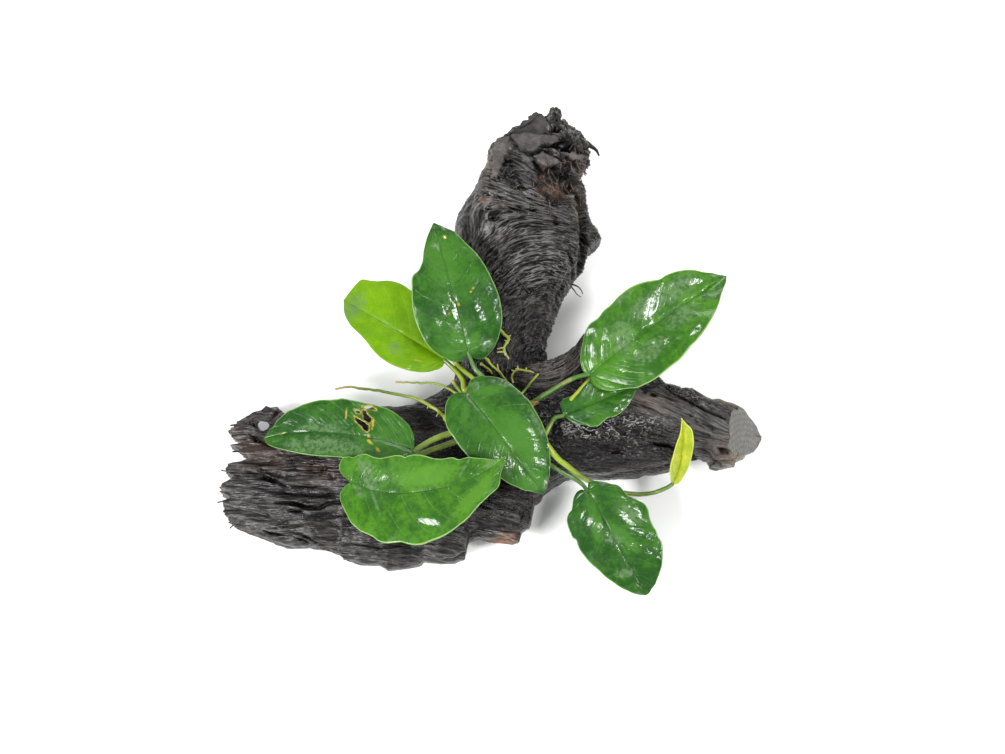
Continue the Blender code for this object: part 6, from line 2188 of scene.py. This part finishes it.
ROOTS = (
    Root("root_long", ((-8, -36.5, None), (-15.5, -34.5, None), (-23.4, -28.8, 28), (-31.8, -23.6, 26),
         (-43.8, -19.4, 21), (-55.5, -16.5, 17), (-64.2, -14.8, 14), (-68.8, -15.2, 12)), 0.9, 0.5,
         stubs=((0.12, 250, 2.2), (0.17, 60, 1.8), (0.25, 235, 2.4), (0.33, 240, 1.6), (0.05, 230, 1.6))),
    Root("root_upper", ((-7.5, -25.6, None), (-15.6, -21.0, 28), (-23.1, -16.4, 25), (-32, -15.0, 22),
         (-41.9, -13.3, 17)), 0.65, 0.4),
    Root("root_kinked", ((4.1, 5.5, None), (6.5, 2.8, None), (7.8, 1.0, None), (6.3, -0.8, None),
         (5.7, -2.6, None), (6.5, -5.3, None)), 0.7, 0.6, dry_tip=0.1, stubs=((0.36, 40, 1.4),
         (0.52, 150, 1.2), (0.62, 20, 1.0), (0.76, 195, 3.0), (0.9, 188, 3.2), (0.98, 300, 2.6))),
    Root("root_bundle_long", ((-2.6, -6.1, None), (0.9, -10.0, None), (3.9, -12.7, None),
         (6.8, -16.2, None), (8.2, -20.0, None)), 0.5, 0.45, stubs=((0.45, 100, 3.0), (0.2, 118, 2.6),
         (0.7, 128, 4.2)), dry_tip=0.15),
    Root("root_bundle_short", ((-4.3, -8.4, None), (-1.3, -11.0, None), (1.8, -13.6, None),
         (4.6, -17.4, None), (6.2, -21.5, None)), 0.48, 0.42, stubs=((0.4, 150, 2.6), (0.65, 140, 3.4),
         (0.1, 160, 2.0)), dry_tip=0.15),
    Root("root_forked", ((17.2, -12.8, None), (14.5, -12.2, None), (11.4, -11.6, None), (9.2, -13.4, None),
         (9.6, -17.0, None)), 0.45, 0.45, stubs=((0.3, 175, 3.0), (0.12, -20, 2.6), (0.2, 75, 1.2),
         (0.45, 100, 1.6), (0.6, 160, 1.4)), dry_tip=0.2),
    Root("root_straight", ((20.4, -14.2, None), (16.8, -18.2, None), (13.4, -22.2, None)), 0.55, 0.5,
         dry_tip=0.1),
)

TUFTS = (
    Tuft("splinters_end", 9000.0, 2.8, 0.42, (-1.0, -0.05, 0.15), 0.3, 3),
    Tuft("splinters_top", 80000.0, 4.2, 0.22, (0.05, -1.0, 0.15), 0.4, 4),
)

WISPS = (
    Wisp("fibre_hooked", ((35.0, 29.8, 24.0), (38.6, 28.6, 23.4), (40.1, 26.9, 22.4), (40.6, 25.9, 21.6)),
         0.42, 0.2),
    Wisp("fibre_forked", ((35.4, 28.8, 23.2), (37.0, 26.9, 22.6), (38.1, 25.4, 22.0), (39.8, 24.5, 21.4)),
         0.36, 0.15),
    Wisp("twig_tip", ((42.6, 95.4, 27.0), (44.4, 94.3, 26.5), (47.5, 91.9, 26.0), (48.4, 89.9, 25.6)), 1.3,
         0.4),
    Wisp("leaf_fold", ((34.4, -26.9, 38.9), (38.3, -22.6, 39.8), (42.0, -18.6, 40.4)), 0.95, 0.8),
    Wisp("straw_long", ((-4.8, 63.4, None), (4.0, 58.8, None), (12.6, 54.2, None)), 0.26, 0.18),
    Wisp("straw_short", ((2.6, 63.4, None), (5.2, 58.6, None), (7.4, 54.2, None)), 0.24, 0.16),
    Wisp("straw_low", ((9.1, 30.1, None), (13.2, 26.0, None), (16.9, 22.3, None)), 0.22, 0.16),
)


def main() -> None:
    """Build and dress every piece, in order."""
    logging.basicConfig(level=logging.INFO, format="%(message)s")
    wood = WoodFinish().make()
    slab, bole, trunk = (limb.build(wood) for limb in (Slab(), Bole(), Trunk()))
    dry = FibreFinish("dry_fibre", (0.10, 0.072, 0.050), (0.020, 0.013, 0.010)).make()
    bark = FibreFinish("dark_fibre", (0.020, 0.016, 0.015), (0.006, 0.005, 0.005)).make()
    fold = StemFinish("leaf_margin", (0.17, 0.21, 0.010), (0.23, 0.26, 0.012), coat=0.8).make()
    bristles = Bristles()
    bristles.grow(TUFTS[0], slab, bark, "wood_dark")
    bristles.grow(TUFTS[1], trunk, dry, "wood_dark")
    shown = Ground([slab.data, bole.data, trunk.data])
    for wisp in WISPS:
        wisp.build(shown, fold if "fold" in wisp.name else dry if "straw" in wisp.name else bark)
    for burl in BURLS:
        burl.build(wood)
    grey = WoodFinish("driftwood_grey", dark=(0.0085, 0.0068, 0.0064), ridge=(0.034, 0.027, 0.0245)).make()
    Spur().build(grey)
    limbs = ("trunk_left", "trunk_right", "trunk_upper", "broken_spur")
    ground = Ground([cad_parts[node].data for node in limbs])
    stem = StemFinish("stem_skin", (0.034, 0.100, 0.006), (0.180, 0.250, 0.010)).make()
    root = StemFinish("root_skin", (0.110, 0.190, 0.012), (0.230, 0.280, 0.020), gloss=0.45, coat=0.25).make()
    creeping = StemFinish("rhizome_skin", (0.110, 0.190, 0.025), (0.240, 0.260, 0.040), gloss=0.4,
                          coat=0.3).make()
    papery = SheathFinish().make()
    rhizome = Rhizome()
    axis = rhizome.axis(ground)
    rhizome.build(axis, creeping)
    greens = {tone: tone.value.make() for tone in Tone}
    for blade in BLADES:
        blade.build(greens[blade.tone])
    for petiole in PETIOLES:
        petiole.build(axis, ground, stem, papery)
    for strand in ROOTS:
        strand.build(ground, root)
    Studio().build()
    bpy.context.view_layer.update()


if __name__ == "__main__":
    main()
